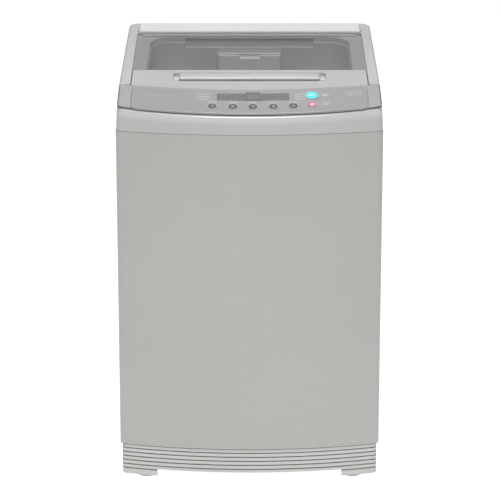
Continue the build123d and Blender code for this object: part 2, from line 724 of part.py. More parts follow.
def make_display_lens():
    """Smoked window set in the fascia, with a raised frame round the two digits."""
    lens = console_patch(LENS_X0, LENS_X1, LENS_S0, LENS_S1, 2, 0.3, 2)
    frame = console_patch(-8, 21.5, LENS_S0 + 0.3, LENS_S1 + 3.5, 2, -0.8, 0)
    frame += console_patch(-8, 21.5, LENS_S0 + 0.3, LENS_S1 - 0.3, 0.5, -0.5, 0.5)
    frame -= console_patch(-5.5, 19, LENS_S0 + 2.5, LENS_S1 + 1, 1.2, -3, 0.3)
    return lens + frame


def button_places():
    """Place (x, s) and cap radius of each button: five small ones, start, power."""
    places = [(x, SMALL_BUTTON_S, SMALL_BUTTON_R) for x in SMALL_BUTTON_X]
    places.append((START_BUTTON_X, START_BUTTON_S, START_BUTTON_R))
    places.append((POWER_BUTTON_X, POWER_BUTTON_S, POWER_BUTTON_R))
    return places


def local_rod(frame, w0, w1, radius):
    """A cylinder along a local plane's normal between two heights."""
    return frame * Pos(0, 0, (w0 + w1) / 2) * Cylinder(radius, w1 - w0)


def make_button(x, s, radius):
    """Round cap with a soft edge, a dished top, a retaining flange and a stem."""
    frame = console_frame(x, s)
    cap = Pos(0, 0, (BUTTON_PROUD - BUTTON_SKIRT) / 2) * Cylinder(radius - 0.4, BUTTON_PROUD + BUTTON_SKIRT)
    cap = fillet(cap.edges().sort_by(Axis.Z)[-1], 0.8)
    cap -= Pos(0, 0, BUTTON_PROUD + radius * 4 - 0.5) * Sphere(radius * 4)
    cap += Pos(0, 0, 0.8 - BUTTON_SKIRT) * Cylinder(radius + 0.9, 1.6)
    stem_end = -BOARD_DEPTH + TACT_H + BUTTON_TRAVEL + BODY_GAP
    stem_len = -BUTTON_SKIRT - stem_end
    cap += Pos(0, 0, stem_end + stem_len / 2) * Cylinder(BUTTON_STEM_R, stem_len)
    return frame * cap


def make_bezels():
    """Bright rings round the buttons, pressed in the fascia's holes."""
    rings = Part()
    for x, s, radius in button_places():
        frame = console_frame(x, s)
        ring = local_rod(frame, -4.5, BEZEL_PROUD, radius + BEZEL_WIDTH)
        ring -= local_rod(frame, -10, 10, radius)
        rings += ring
    return rings


def make_display_board():
    """Circuit board under the fascia with its tactile switches and digit module."""
    frame = console_frame(12, (SMALL_BUTTON_S + START_BUTTON_S) / 2 + 4)
    board = frame * Pos(0, 0, -BOARD_DEPTH - BOARD_T / 2 - 1.2) * Box(270, 50, BOARD_T)
    for x, s, radius in button_places():
        spot = console_frame(x, s)
        board += local_rod(spot, -BOARD_DEPTH - 1.6, -BOARD_DEPTH + TACT_H, 3.2)
    middle = console_frame(7, (LENS_S0 + LENS_S1) / 2)
    board += middle * Pos(0, 0, -10.5) * Box(60, 19, 13)
    return board


def make_control_box():
    """Potted tray of the main controller, hung under the console."""
    tray = block(-100, 100, -254, -204, 776, 788)
    tray = fillet(tray.edges().filter_by(Axis.Z), 4)
    for x in (-70, -40, 50, 76):
        tray += block(x - 8, x + 8, -214, -206, 788, 793)
    return tray


def make_lid_switch():
    """Safety switch under the ledge beside the wash opening."""
    y = -60
    z = lid_z(y, -LEDGE_DROP - LEDGE_T)
    return block(218, 240, y - 20, y + 20, z - 22, z - 2)


# ---- lid group ----
def make_lid_front():
    """Front moulding of the lid with the sunk grip pocket."""
    strip = lid_front_prism(False, -LID_STRIP_T, 0, GLASS_FRONT_Y - 0.3)
    strip -= lid_front_prism_inner()
    pocket = grip_block(0, -GRIP_DEPTH - GRIP_WALL, -1)
    strip += pocket
    strip -= grip_block(GRIP_WALL, -GRIP_DEPTH, 5)
    seat_plan = (-LID_HALF_W + 8, LID_HALF_W - 8, GLASS_FRONT_Y - 2, GLASS_FRONT_Y + 9)
    seat = lid_prism(seat_plan, -LID_STRIP_T + 1, -GLASS_DROP - GLASS_T)
    return strip + seat


def lid_front_prism_inner():
    """Hollow under the front moulding, leaving its skin and rim."""
    plan = (-LID_HALF_W + 3, LID_HALF_W - 3, LID_SHELL_FRONT_Y, GLASS_FRONT_Y - 3)
    return lid_prism(plan, -LID_STRIP_T - 1, -3)


def grip_block(inset, low, high):
    """Rounded block of the grip pocket between two levels under the lid's top."""
    width = 2 * (GRIP_HALF_W + GRIP_WALL - inset)
    depth = GRIP_REAR_Y - GRIP_FRONT_Y + 2 * (GRIP_WALL - inset)
    face = Pos(0, (GRIP_REAR_Y + GRIP_FRONT_Y) / 2) * RectangleRounded(width, depth, GRIP_CORNER_R - inset)
    prism = extrude(Pos(0, 0, SEAM_Z) * face, 160)
    return prism & lid_prism((-LID_HALF_W, LID_HALF_W, GRIP_FRONT_Y - 90, 0), low, high)


def make_handle_bar():
    """Rounded bar across the grip pocket, with its ends turned down to the pocket's end walls."""
    half = GRIP_HALF_W - BAR_END_GAP
    y = (BAR_FRONT_Y + BAR_REAR_Y) / 2
    width = BAR_REAR_Y - BAR_FRONT_Y
    frame = Pos(0, y, lid_z(y)) * Rot(LID_SLOPE, 0, 0)
    bar = Pos(0, 0, BAR_RISE - BAR_T / 2) * Box(2 * half, width, BAR_T)
    bar = fillet(bar.edges().filter_by(Axis.X), BAR_T / 2 - 0.2)
    bar = fillet(bar.faces().sort_by(Axis.Z)[-1].edges().filter_by(Axis.Y), BAR_T / 3)
    tab_x = half + BAR_END_GAP / 2 - 4
    tab_z = BAR_RISE - BAR_TAB_DROP - BAR_TAB_T / 2
    tab_len = BAR_END_GAP + 8 - 0.2
    for side in (-1, 1):
        tab = Box(tab_len, width - 8, BAR_TAB_T)
        bar += Pos(side * tab_x, 0, tab_z) * fillet(tab.edges().filter_by(Axis.X), BAR_TAB_T / 2 - 0.5)
    return frame * bar


def make_lid_glass():
    """Clear pane with polished edges."""
    plan = (-LID_HALF_W, LID_HALF_W, GLASS_FRONT_Y, GLASS_REAR_Y)
    pane = lid_prism(plan, -GLASS_DROP - GLASS_T, -GLASS_DROP)
    return chamfer(pane.edges(), 0.4)


def make_hinge_rail():
    """Rear rail that carries the pane, rounded about the hinge axis, with a pin at each end."""
    y, z = hinge_axis()
    rail = rod_x(y, z, -LID_HALF_W, LID_HALF_W, HINGE_RAIL_R)
    rail += lid_prism((-LID_HALF_W, LID_HALF_W, GLASS_REAR_Y + 0.3, LID_HINGE_Y), -2 * HINGE_DROP, 0)
    rail += lid_prism((-LID_HALF_W + 8, LID_HALF_W - 8, GLASS_REAR_Y - 10, LID_HINGE_Y), -2 * HINGE_DROP,
                      -GLASS_DROP - GLASS_T)
    for side in (-1, 1):
        x0, x1 = sorted((side * (LID_HALF_W - 4), side * (LID_HALF_W + HINGE_PIN_LEN)))
        rail += rod_x(y, z, x0, x1, HINGE_PIN_R)
    return rail


def make_lid_bumpers():
    """Soft pads under the front corners of the lid."""
    pads = Part()
    for side in (-1, 1):
        x = side * 228
        pads += lid_prism((x - 7, x + 7, -158, -144), -LEDGE_DROP + BODY_GAP, -3)
    return pads


# ---- water group ----
def make_dispenser_housing():
    """Box behind the rear wall of the well in which the drawer slides."""
    shell = housing_space(0)
    inner = block(-DRAWER_HALF_W - DRAWER_GAP, DRAWER_HALF_W + DRAWER_GAP, DRAWER_FRONT_Y, 
                  DRAWER_FRONT_Y + DRAWER_LENGTH + 6, DRAWER_BOTTOM_Z - DRAWER_GAP, DRAWER_TOP_Z + DRAWER_GAP)
    shell -= inner
    inlet_y = REAR_Y - NICHE_DEPTH - 16
    shell -= rod(HOSE_DROP_X, inlet_y, DRAWER_TOP_Z, DRAWER_TOP_Z + 10, HOSE_R - 2)
    return shell


def make_drawer():
    """Detergent tray with a front, two compartments and a finger dip."""
    z0, z1 = DRAWER_BOTTOM_Z, DRAWER_TOP_Z
    y0, y1 = DRAWER_FRONT_Y, DRAWER_FRONT_Y + DRAWER_LENGTH
    tray = block(-DRAWER_HALF_W, DRAWER_HALF_W, y0, y1, z0, z1 - 3)
    wall = DRAWER_WALL
    tray -= block(-DRAWER_HALF_W + wall, 12, y0 + 4, y1 - wall, z0 + wall, z1)
    tray -= block(12 + wall, DRAWER_HALF_W - wall, y0 + 4, y1 - wall, z0 + wall, z1)
    front = block(-DRAWER_HALF_W, DRAWER_HALF_W, y0 - 3, y0 + 4, z0, z1)
    front = fillet(front.faces().sort_by(Axis.Y)[0].edges(), 2)
    dip = Pos(0, y0 - 5, z1) * Rot(0, 90, 0) * Cylinder(8, 44)
    return tray + front - dip


def make_inlet_valve():
    """Solenoid valve with its threaded port in the niche at the back and its outlet to the left side."""
    port_y = REAR_Y - NICHE_DEPTH
    port_end = port_y + INLET_PORT_LEN + 4
    valve = rod_y(INLET_X, INLET_Z, port_y + 2, port_end, INLET_PORT_R)
    valve += rod_y(INLET_X, INLET_Z, port_y - 2, port_y + 2, INLET_PORT_R + 5)
    valve += rod_y(INLET_X, INLET_Z, port_y - 26, port_y - 2, 15)
    valve += rod_x(port_y - 16, INLET_Z + 6, INLET_X, INLET_X + 24, HOSE_R + 1)
    valve += rod(INLET_X, port_y - 16, INLET_Z - 30, INLET_Z, 11)
    valve += block(INLET_X - 15, INLET_X + 15, port_y - 34, port_y - 6, INLET_Z - 62, INLET_Z - 28)
    valve -= rod_y(INLET_X, INLET_Z, port_y - 8, port_end + 1, INLET_PORT_BORE)
    return valve


def make_inlet_hose():
    """Short hose from the valve across to a nipple on the dispenser housing."""
    y = REAR_Y - NICHE_DEPTH - 16
    z = INLET_Z + 6
    top = DRAWER_TOP_Z + DRAWER_GAP + HOUSING_WALL
    hose = rod_x(y, z, INLET_X + 24, HOSE_DROP_X, HOSE_R) + rod(HOSE_DROP_X, y, top, z, HOSE_R)
    hose += Pos(HOSE_DROP_X, y, z) * Sphere(HOSE_R)
    hose -= rod_x(y, z, INLET_X + 20, HOSE_DROP_X, HOSE_R - 2) + rod(HOSE_DROP_X, y, top - 1, z, HOSE_R - 2)
    return hose


def make_pressure_switch():
    """Round water level switch hung from the ledge, with its nipple downwards."""
    top = PRESSURE_TOP_Z
    switch = rod(PRESSURE_X, PRESSURE_Y, top - 24, top, 17)
    switch = chamfer(switch.edges().filter_by(GeomType.CIRCLE), 1.5)
    switch += rod(PRESSURE_X, PRESSURE_Y, top - 34, top - 24, 3)
    tab_y = WELL_REAR_Y + WELL_WALL
    return switch + block(PRESSURE_X - 6, PRESSURE_X + 6, tab_y, PRESSURE_Y, top - 18, top - 6)


def make_pressure_hose():
    """Air hose from the tub's pressure chamber up to the level switch."""
    return tube(PRESSURE_X, PRESSURE_Y, AIR_TRAP_TOP_Z, PRESSURE_TOP_Z - 24, 5, 3 + RUN_CLEARANCE)


def make_drain_pipe():
    """Elbow from the bellows down to the outlet spigot in the plinth's rear niche."""
    pipe = rod(VALVE_X, VALVE_Y, DRAIN_Z, BELLOWS_BOTTOM_Z, DRAIN_R)
    pipe += Pos(VALVE_X, VALVE_Y, DRAIN_Z) * Sphere(DRAIN_R + ELBOW_SWELL)
    pipe += rod_y(VALVE_X, DRAIN_Z, VALVE_Y, REAR_Y - DRAIN_NICHE - 4, DRAIN_R)
    pipe += rod_y(VALVE_X, DRAIN_Z, REAR_Y - DRAIN_NICHE - 4, REAR_Y - 1, SPIGOT_R)
    pipe += rod(VALVE_X, VALVE_Y, BELLOWS_BOTTOM_Z - 3, BELLOWS_BOTTOM_Z, BELLOWS_R)
    bore = DRAIN_R - 2.5
    pipe -= rod(VALVE_X, VALVE_Y, DRAIN_Z - bore / 2, BELLOWS_BOTTOM_Z + 1, bore)
    pipe -= rod_y(VALVE_X, DRAIN_Z, VALVE_Y, REAR_Y + 1, bore - ELBOW_SWELL)
    return pipe


def make_drain_bellows():
    """Ribbed rubber sleeve between the valve outlet and the fixed drain pipe."""
    sleeve = tube(VALVE_X, VALVE_Y, BELLOWS_BOTTOM_Z, VALVE_OUTLET_Z, BELLOWS_R - 2, NECK_R - NECK_WALL)
    pitch = 9.0
    count = int((VALVE_OUTLET_Z - BELLOWS_BOTTOM_Z) / pitch)
    for i in range(count):
        z = BELLOWS_BOTTOM_Z + (i + 0.5) * pitch
        sleeve += tube(VALVE_X, VALVE_Y, z - 2, z + 2, BELLOWS_R + 2, BELLOWS_R - 3)
    return sleeve


def make_drain_valve():
    """Valve body under the tub: inlet neck up, outlet neck down, side bore for the plunger."""
    x0, x1 = VALVE_X - VALVE_LEN / 2, VALVE_X + VALVE_LEN / 2
    valve = rod_x(VALVE_Y, VALVE_Z, x0, x1, VALVE_R)
    valve += rod(VALVE_X, VALVE_Y, VALVE_Z, TUB_BOTTOM_Z, NECK_R)
    valve += rod(VALVE_X, VALVE_Y, VALVE_OUTLET_Z, VALVE_Z, NECK_R)
    valve -= rod_x(VALVE_Y, VALVE_Z, x0 - 1, x1 - VALVE_WALL, VALVE_R - VALVE_WALL)
    valve -= rod(VALVE_X, VALVE_Y, VALVE_Z, TUB_BOTTOM_Z + 1, NECK_R - NECK_WALL)
    valve -= rod(VALVE_X, VALVE_Y, VALVE_OUTLET_Z - 1, VALVE_Z, NECK_R - NECK_WALL)
    return valve


def make_valve_plunger():
    """Sliding seal of the drain valve with its pull rod."""
    x0 = VALVE_X - VALVE_LEN / 2 + PLUNGER_TRAVEL + 4
    plunger = rod_x(VALVE_Y, VALVE_Z, x0, x0 + 9, VALVE_R - VALVE_WALL - RUN_CLEARANCE)
    return plunger + rod_x(VALVE_Y, VALVE_Z, VALVE_X - VALVE_LEN / 2 - 22, x0, 3)


def make_drain_actuator():
    """Traction motor that pulls the plunger, hung under the mounting plate."""
    sx, sy, sz = ACTUATOR_SIZE
    x1 = VALVE_X - VALVE_LEN / 2 - 4
    top = PLATE_Z
    box = block(x1 - sx, x1, VALVE_Y - sy / 2, VALVE_Y + sy / 2, VALVE_Z - sz / 2, top)
    box = fillet(box.edges().filter_by(Axis.Z), 4)
    return box - rod_x(VALVE_Y, VALVE_Z, x1 - 18 - PLUNGER_TRAVEL - 4, x1 + 1, 3 + RUN_CLEARANCE)


# ---- suspension ----
def make_corner_brackets():
    """Pressed corner plates under the top cover that carry the rod seats."""
    z = ROD_TOP_Z - 10
    plates = Part()
    limit = plan_block(SHEET, z - 20, z + 20, CABINET_REAR_INSET)
    for x, y in corners_of(ROD_X, ROD_Y):
        sx, sy = (1 if x > 0 else -1), (1 if y > 0 else -1)
        x_span = sorted((x - sx * 22, x + sx * 70))
        y_span = sorted((y - sy * 22, y + sy * 90))
        corner = block(*x_span, *y_span, z, z + BRACKET_T)
        lip = block(*sorted((x - sx * 22, x - sx * 20)), *sorted((y - sy * 22, y + sy * 90)), z - 8, z)
        plates += ((corner + lip) & limit) - rod(x, y, z - 5, z + 5, ROD_R + 1.5)
    return plates


def make_suspension_rods():
    """Four hanging rods: ball seat on the corner plate, washer and nut below the spring."""
    z = ROD_TOP_Z - 10 + BRACKET_T
    seat = spring_bottom_z()
    rods = Part()
    for x, y in corners_of(ROD_X, ROD_Y):
        one = rod(x, y, ROD_BOTTOM_Z, ROD_TOP_Z, ROD_R)
        one += Pos(x, y, z) * (Sphere(9) & Pos(0, 0, 5) * Box(30, 30, 10))
        one += rod(x, y, seat - SPRING_SEAT_T, seat, CUP_R - 1)
        one += rod(x, y, seat - SPRING_SEAT_T - 7, seat - SPRING_SEAT_T, 8)
        rods += one
    return rods


def lug_bottom_z():
    return LUG_Z - LUG_T / 2


def spring_bottom_z():
    return lug_bottom_z() - CUP_H / 3 - SPRING_LENGTH


def make_springs():
    """Coil springs round the rods, between the rod washers and the damper cups."""
    springs = Part()
    low = spring_bottom_z() + SPRING_WIRE_R + 0.3
    high = lug_bottom_z() - CUP_H / 3 - SPRING_WIRE_R - 0.6
    path = Helix((high - low) / SPRING_TURNS, high - low, SPRING_R - SPRING_WIRE_R - 2)
    section = Plane(path @ 0, z_dir=path % 0) * Circle(SPRING_WIRE_R)
    coil = sweep(section, path)
    for x, y in corners_of(ROD_X, ROD_Y):
        springs += Pos(x, y, low) * coil
    return springs


def make_spring_cups():
    """Damper cups pressed under the tub lugs, open downwards over the spring tops."""
    cups = Part()
    top = lug_bottom_z()
    for x, y in corners_of(ROD_X, ROD_Y):
        cup = rod(x, y, top - CUP_H, top, CUP_R) - rod(x, y, top - CUP_H - 1, top - CUP_H / 3, CUP_R - 2)
        cups += cup - rod(x, y, top - CUP_H, top + 1, ROD_R + RUN_CLEARANCE)
    return cups


# ---- tub ----
def make_outer_tub():
    """Water tub: wall, ribbed floor, corner lugs, plate bosses, air chamber and drain hole."""
    tub = rod(0, 0, TUB_BOTTOM_Z, TUB_TOP_Z, TUB_R)
    tub -= rod(0, 0, TUB_BOTTOM_Z + TUB_WALL, TUB_TOP_Z + 1, TUB_R - TUB_WALL)
    tub += tube(0, 0, TUB_TOP_Z - 10, TUB_TOP_Z, TUB_R + 5, TUB_R - TUB_WALL)
    for z in (430, 560, 680):
        tub += tube(0, 0, z, z + 3, TUB_R + 4, TUB_R - 1)
    for x, y in corners_of(ROD_X, ROD_Y):
        reach = hypot(x, y)
        arm = Pos(0, 0, LUG_Z) * Rot(0, 0, degrees(atan2(y, x))) * \
            Pos((TUB_R + reach) / 2 - 4, 0, 0) * Box(reach - TUB_R + 8, 2 * LUG_R - 6, LUG_T)
        tub += arm + rod(x, y, LUG_Z - LUG_T / 2, LUG_Z + LUG_T / 2, LUG_R)
    for x, y in corners_of(ROD_X, ROD_Y):
        tub -= rod(x, y, LUG_Z - 30, LUG_Z + 30, ROD_R + 2.5)
    for x, y in boss_places():
        tub += rod(x, y, PLATE_Z + PLATE_T, TUB_BOTTOM_Z + 1, BOSS_R)
    trap = rod(PRESSURE_X, PRESSURE_Y, AIR_TRAP_TOP_Z - 60, AIR_TRAP_TOP_Z, AIR_TRAP_R)
    tub += trap - rod(0, 0, TUB_BOTTOM_Z, TUB_TOP_Z, TUB_R - 1)
    tub += rod(PRESSURE_X, PRESSURE_Y, AIR_TRAP_TOP_Z, AIR_TRAP_TOP_Z + 10, 3)
    tub -= rod(0, 0, TUB_BOTTOM_Z - 5, TUB_BOTTOM_Z + 10, BEARING_R)
    tub -= rod(VALVE_X, VALVE_Y, TUB_BOTTOM_Z - 1, TUB_BOTTOM_Z + 10, NECK_R - NECK_WALL)
    return tub


def boss_places():
    """Centres of the four bosses that carry the mounting plate."""
    return [(sx * (PLATE_HALF_X - 22), sy * (PLATE_HALF_Y - 18)) for sx in (-1, 1) for sy in (-1, 1)]


def make_tub_cover():
    """Splash ring clipped on the tub's rim."""
    z0, z1 = TUB_TOP_Z, TUB_COVER_TOP_Z
    ring = tube(0, 0, z0, z1, TUB_R + 5, TUB_COVER_IN_R)
    ring -= tube(0, 0, z0 - 1, z1 - TUB_COVER_T, TUB_R - 1, TUB_COVER_IN_R + TUB_COVER_T)
    return fillet(ring.edges().filter_by(GeomType.CIRCLE).sort_by(Axis.Z)[-1], 1.0)


def make_mounting_plate():
    """Pressed steel plate under the tub that carries the clutch and motor."""
    plate = block(-PLATE_HALF_X, PLATE_HALF_X, -PLATE_HALF_Y, PLATE_HALF_Y, PLATE_Z, PLATE_Z + PLATE_T)
    plate = fillet(plate.edges().filter_by(Axis.Z), 20)
    plate -= rod(0, 0, PLATE_Z - 1, PLATE_Z + 10, CLUTCH_NECK_R + 0.3)
    plate -= rod(VALVE_X, VALVE_Y, PLATE_Z - 1, PLATE_Z + 10, NECK_R + 6)
    plate -= block(VALVE_X - VALVE_LEN / 2 - 1, PLATE_HALF_X + 1, VALVE_Y - VALVE_R - 2, VALVE_Y + VALVE_R + 2,
                   PLATE_Z - 1, PLATE_Z + 10)
    for x, y in boss_places():
        plate += rod(x, y, PLATE_Z - 5, PLATE_Z, 8)
    return plate


def make_clutch():
    """Sealed clutch and gear unit on the drive axis, bored for the spin tube and drive shaft."""
    body = rod(0, 0, CLUTCH_BOTTOM_Z, PLATE_Z, CLUTCH_R)
    body = chamfer(body.edges().filter_by(GeomType.CIRCLE).sort_by(Axis.Z)[0], 6)
    body += rod(0, 0, PLATE_Z, TUB_BOTTOM_Z - 2, CLUTCH_NECK_R)
    for i in range(6):
        body += Rot(0, 0, i * 60) * block(CLUTCH_R - 3, CLUTCH_R + 12, -7, 7, PLATE_Z - 8, PLATE_Z)
    body -= rod(0, 0, CLUTCH_BOTTOM_Z - 1, SPIN_TUBE_BOTTOM_Z - 1, DRIVE_SHAFT_R + RUN_CLEARANCE)
    return body - rod(0, 0, SPIN_TUBE_BOTTOM_Z - 1, TUB_BOTTOM_Z + 1, SPIN_TUBE_R + RUN_CLEARANCE)


def make_tub_bearing():
    """Sealed bearing in the tub's floor round the spin tube."""
    z0 = TUB_BOTTOM_Z - 2
    return tube(0, 0, z0, z0 + BEARING_H, BEARING_R, SPIN_TUBE_R + RUN_CLEARANCE)


def make_motor():
    """Induction motor housing under the plate, with cooling slots and three posts."""
    top = PLATE_Z
    motor = rod(MOTOR_X, MOTOR_Y, MOTOR_BOTTOM_Z, MOTOR_TOP_Z, MOTOR_R)
    motor = chamfer(motor.edges().filter_by(GeomType.CIRCLE), 5)
    for i in range(12):
        fin = Pos(MOTOR_X, MOTOR_Y, 0) * Rot(0, 0, i * 30) * block(MOTOR_R - 2, MOTOR_R + 3, -3, 3,
                                                                    MOTOR_BOTTOM_Z + 22, MOTOR_TOP_Z - 22)
        motor += fin
    for i in range(3):
        angle = radians(90 + i * 120)
        motor += rod(MOTOR_X + 42 * cos(angle), MOTOR_Y + 42 * sin(angle), MOTOR_TOP_Z - 1, top, 7)
    z0 = MOTOR_BOTTOM_Z - 1
    return motor - rod(MOTOR_X, MOTOR_Y, z0, z0 + 41, MOTOR_SHAFT_R + RUN_CLEARANCE)


def grooved_pulley(radius):
    """A flanged pulley turned about Z, with its middle groove."""
    wheel = rod(0, 0, PULLEY_Z, PULLEY_Z + PULLEY_H, radius)
    return wheel - tube(0, 0, PULLEY_Z + PULLEY_FLANGE, PULLEY_Z + PULLEY_H - PULLEY_FLANGE,
                        radius + 1, radius - BELT_DEPTH)


def make_motor_pulley():
    """Motor pulley on its shaft stub."""
    stub = rod(0, 0, PULLEY_Z - 3, MOTOR_BOTTOM_Z + 36, MOTOR_SHAFT_R)
    return Pos(MOTOR_X, MOTOR_Y, 0) * (grooved_pulley(MOTOR_PULLEY_R) + stub)


def make_drive_pulley():
    """Large spoked pulley keyed to the drive shaft."""
    wheel = grooved_pulley(PULLEY_R)
    for i in range(6):
        wheel -= Rot(0, 0, i * 60) * rod(42, 0, PULLEY_Z - 1, PULLEY_Z + PULLEY_H + 1, 13)
    return wheel - rod(0, 0, PULLEY_Z - 1, PULLEY_Z + PULLEY_H + 1, DRIVE_SHAFT_R)


def make_belt():
    """V-belt round both pulleys, standing clear of the groove floors."""
    z0 = PULLEY_Z + PULLEY_FLANGE + BELT_SIDE_GAP
    z1 = PULLEY_Z + PULLEY_H - PULLEY_FLANGE - BELT_SIDE_GAP
    small = MOTOR_PULLEY_R - BELT_DEPTH + BODY_GAP
    large = PULLEY_R - BELT_DEPTH + BODY_GAP
    loop = belt_face(large + BELT_T, small + BELT_T) - belt_face(large, small)
    return extrude(Pos(0, 0, z0) * loop, z1 - z0)


def belt_face(large, small):
    """Hull of a circle at the drive axis and a smaller one at the motor."""
    reach = hypot(MOTOR_X, MOTOR_Y)
    lean = atan2(MOTOR_Y, MOTOR_X)
    spread = (pi / 2) - atan2(large - small, sqrt(reach**2 - (large - small) ** 2))
    at = [(sign, (large * cos(lean + sign * spread), large * sin(lean + sign * spread)),
           (MOTOR_X + small * cos(lean + sign * spread), MOTOR_Y + small * sin(lean + sign * spread)))
          for sign in (1, -1)]
    near = (-large * cos(lean), -large * sin(lean))
    far = (MOTOR_X + small * cos(lean), MOTOR_Y + small * sin(lean))
    edges = [
        ThreePointArc(at[0][1], near, at[1][1]),
        Line(at[1][1], at[1][2]),
        ThreePointArc(at[1][2], far, at[0][2]),
        Line(at[0][2], at[0][1]),
    ]
    return make_face(Curve() + edges)


# ---- basket ----
def make_basket():
    """Rolled steel basket wall with its turned-in foot."""
    wall = tube(0, 0, BASKET_BOTTOM_Z + 6, BASKET_TOP_Z, BASKET_R, BASKET_R - BASKET_SHEET)
    return wall


def make_basket_base():
    """Moulded basket floor with a hub on the spin tube."""
    z0 = BASKET_BOTTOM_Z
    base = rod(0, 0, z0, z0 + BASKET_BASE_T, BASKET_R - BASKET_SHEET)
    base += tube(0, 0, z0, z0 + 6, BASKET_R, BASKET_R - 4)
    for i in range(8):
        base += Rot(0, 0, i * 45) * block(HUB_R - 6, BASKET_R - 8, -3, 3, z0 - 7, z0 + 1)
    base += rod(0, 0, z0 - 8, z0 + 1, HUB_R)
    base -= rod(0, 0, z0 - 9, z0 + BASKET_BASE_T + 1, SPIN_TUBE_R)
    for ring in (70, 110, 150, 190):
        count = ring // 8
        for i in range(0, count):
            base -= Rot(0, 0, i * 360 / count) * rod(ring, 0, z0 - 1, z0 + BASKET_BASE_T + 1, 2.5)
    return base


def make_balance_ring():
    """Hollow ring round the basket's mouth, part filled with brine."""
    ring = tube(0, 0, RING_BOTTOM_Z, RING_TOP_Z, BASKET_R + 3, RING_IN_R)
    ring = fillet(ring.edges().filter_by(GeomType.CIRCLE).sort_by(Axis.Z)[-2:], 6)
    ring -= tube(0, 0, RING_BOTTOM_Z + 12, RING_TOP_Z - 8, BASKET_R - 2, RING_IN_R + RING_WALL)
    return ring - tube(0, 0, RING_BOTTOM_Z - 1, BASKET_TOP_Z, BASKET_R, BASKET_R - BASKET_SHEET)


def make_spin_tube():
    """Hollow shaft that turns the basket, running in the clutch and tub bearing."""
    return tube(0, 0, SPIN_TUBE_BOTTOM_Z, BASKET_BOTTOM_Z + BASKET_BASE_T, SPIN_TUBE_R,
                DRIVE_SHAFT_R + RUN_CLEARANCE)


def make_lint_filter():
    """Clip-on filter case on the basket's wall, with a mesh window."""
    back = sqrt((BASKET_R - BASKET_SHEET) ** 2 - (FILTER_W / 2) ** 2) - 0.2
    z0, z1 = FILTER_TOP_Z - FILTER_H, FILTER_TOP_Z
    case = block(-FILTER_W / 2, FILTER_W / 2, back - FILTER_D, back, z0, z1)
    case = fillet(case.edges().filter_by(Axis.Y), 12)
    case = fillet(case.faces().sort_by(Axis.Y)[0].edges(), 4)
    half = FILTER_W / 2 - 12
    return case - block(-half, half, back - FILTER_D + 3, back + 1, z0 + 14, z1 - 14)


# ---- pulsator and drive shaft ----
def make_pulsator():
    """Dished disc with a central dome and curved fins."""
    z0 = BASKET_BOTTOM_Z + BASKET_BASE_T + 4
    profile = [
        (DRIVE_SHAFT_R, z0),
        (PULSATOR_R, z0),
        (PULSATOR_R, z0 + PULSATOR_RIM_H),
        (PULSATOR_R - 14, z0 + PULSATOR_RIM_H + 2),
        (PULSATOR_DOME_R + 20, z0 + 12),
        (PULSATOR_DOME_R, z0 + 20),
        (PULSATOR_DOME_R - 26, z0 + PULSATOR_DOME_H),
        (DRIVE_SHAFT_R, z0 + PULSATOR_DOME_H),
    ]
    wire = Polyline(*[(r, 0, z) for r, z in profile], close=True)
    disc = revolve(make_face(wire), Axis.Z, 360)
    for i in range(PULSATOR_FINS):
        fin = Solid.make_box(PULSATOR_R - 60, 12, 26, Plane((40, -6, z0 + 8)))
        fin = fillet(fin.edges().sort_by(Axis.Z)[-4:], 4)
        tilt = Pos(40, 0, z0 + 20) * Rot(0, 6, 0) * Pos(-40, 0, -z0 - 20) * fin
        disc += Rot(0, 0, i * 360 / PULSATOR_FINS) * (tilt & rod(0, 0, z0, z0 + 60, PULSATOR_R - 2))
    return disc


def make_drive_shaft():
    """Solid shaft from the drive pulley up to the pulsator."""
    top = BASKET_BOTTOM_Z + BASKET_BASE_T + 4 + PULSATOR_DOME_H
    return rod(0, 0, PULLEY_Z - 2, top, DRIVE_SHAFT_R)


def make_pulsator_screw():
    """Flanged screw that holds the pulsator on its shaft."""
    top = BASKET_BOTTOM_Z + BASKET_BASE_T + 4 + PULSATOR_DOME_H
    head = extrude(Pos(0, 0, top + 2) * RegularPolygon(8, 6), 5)
    return rod(0, 0, top, top + 2, 12) + head


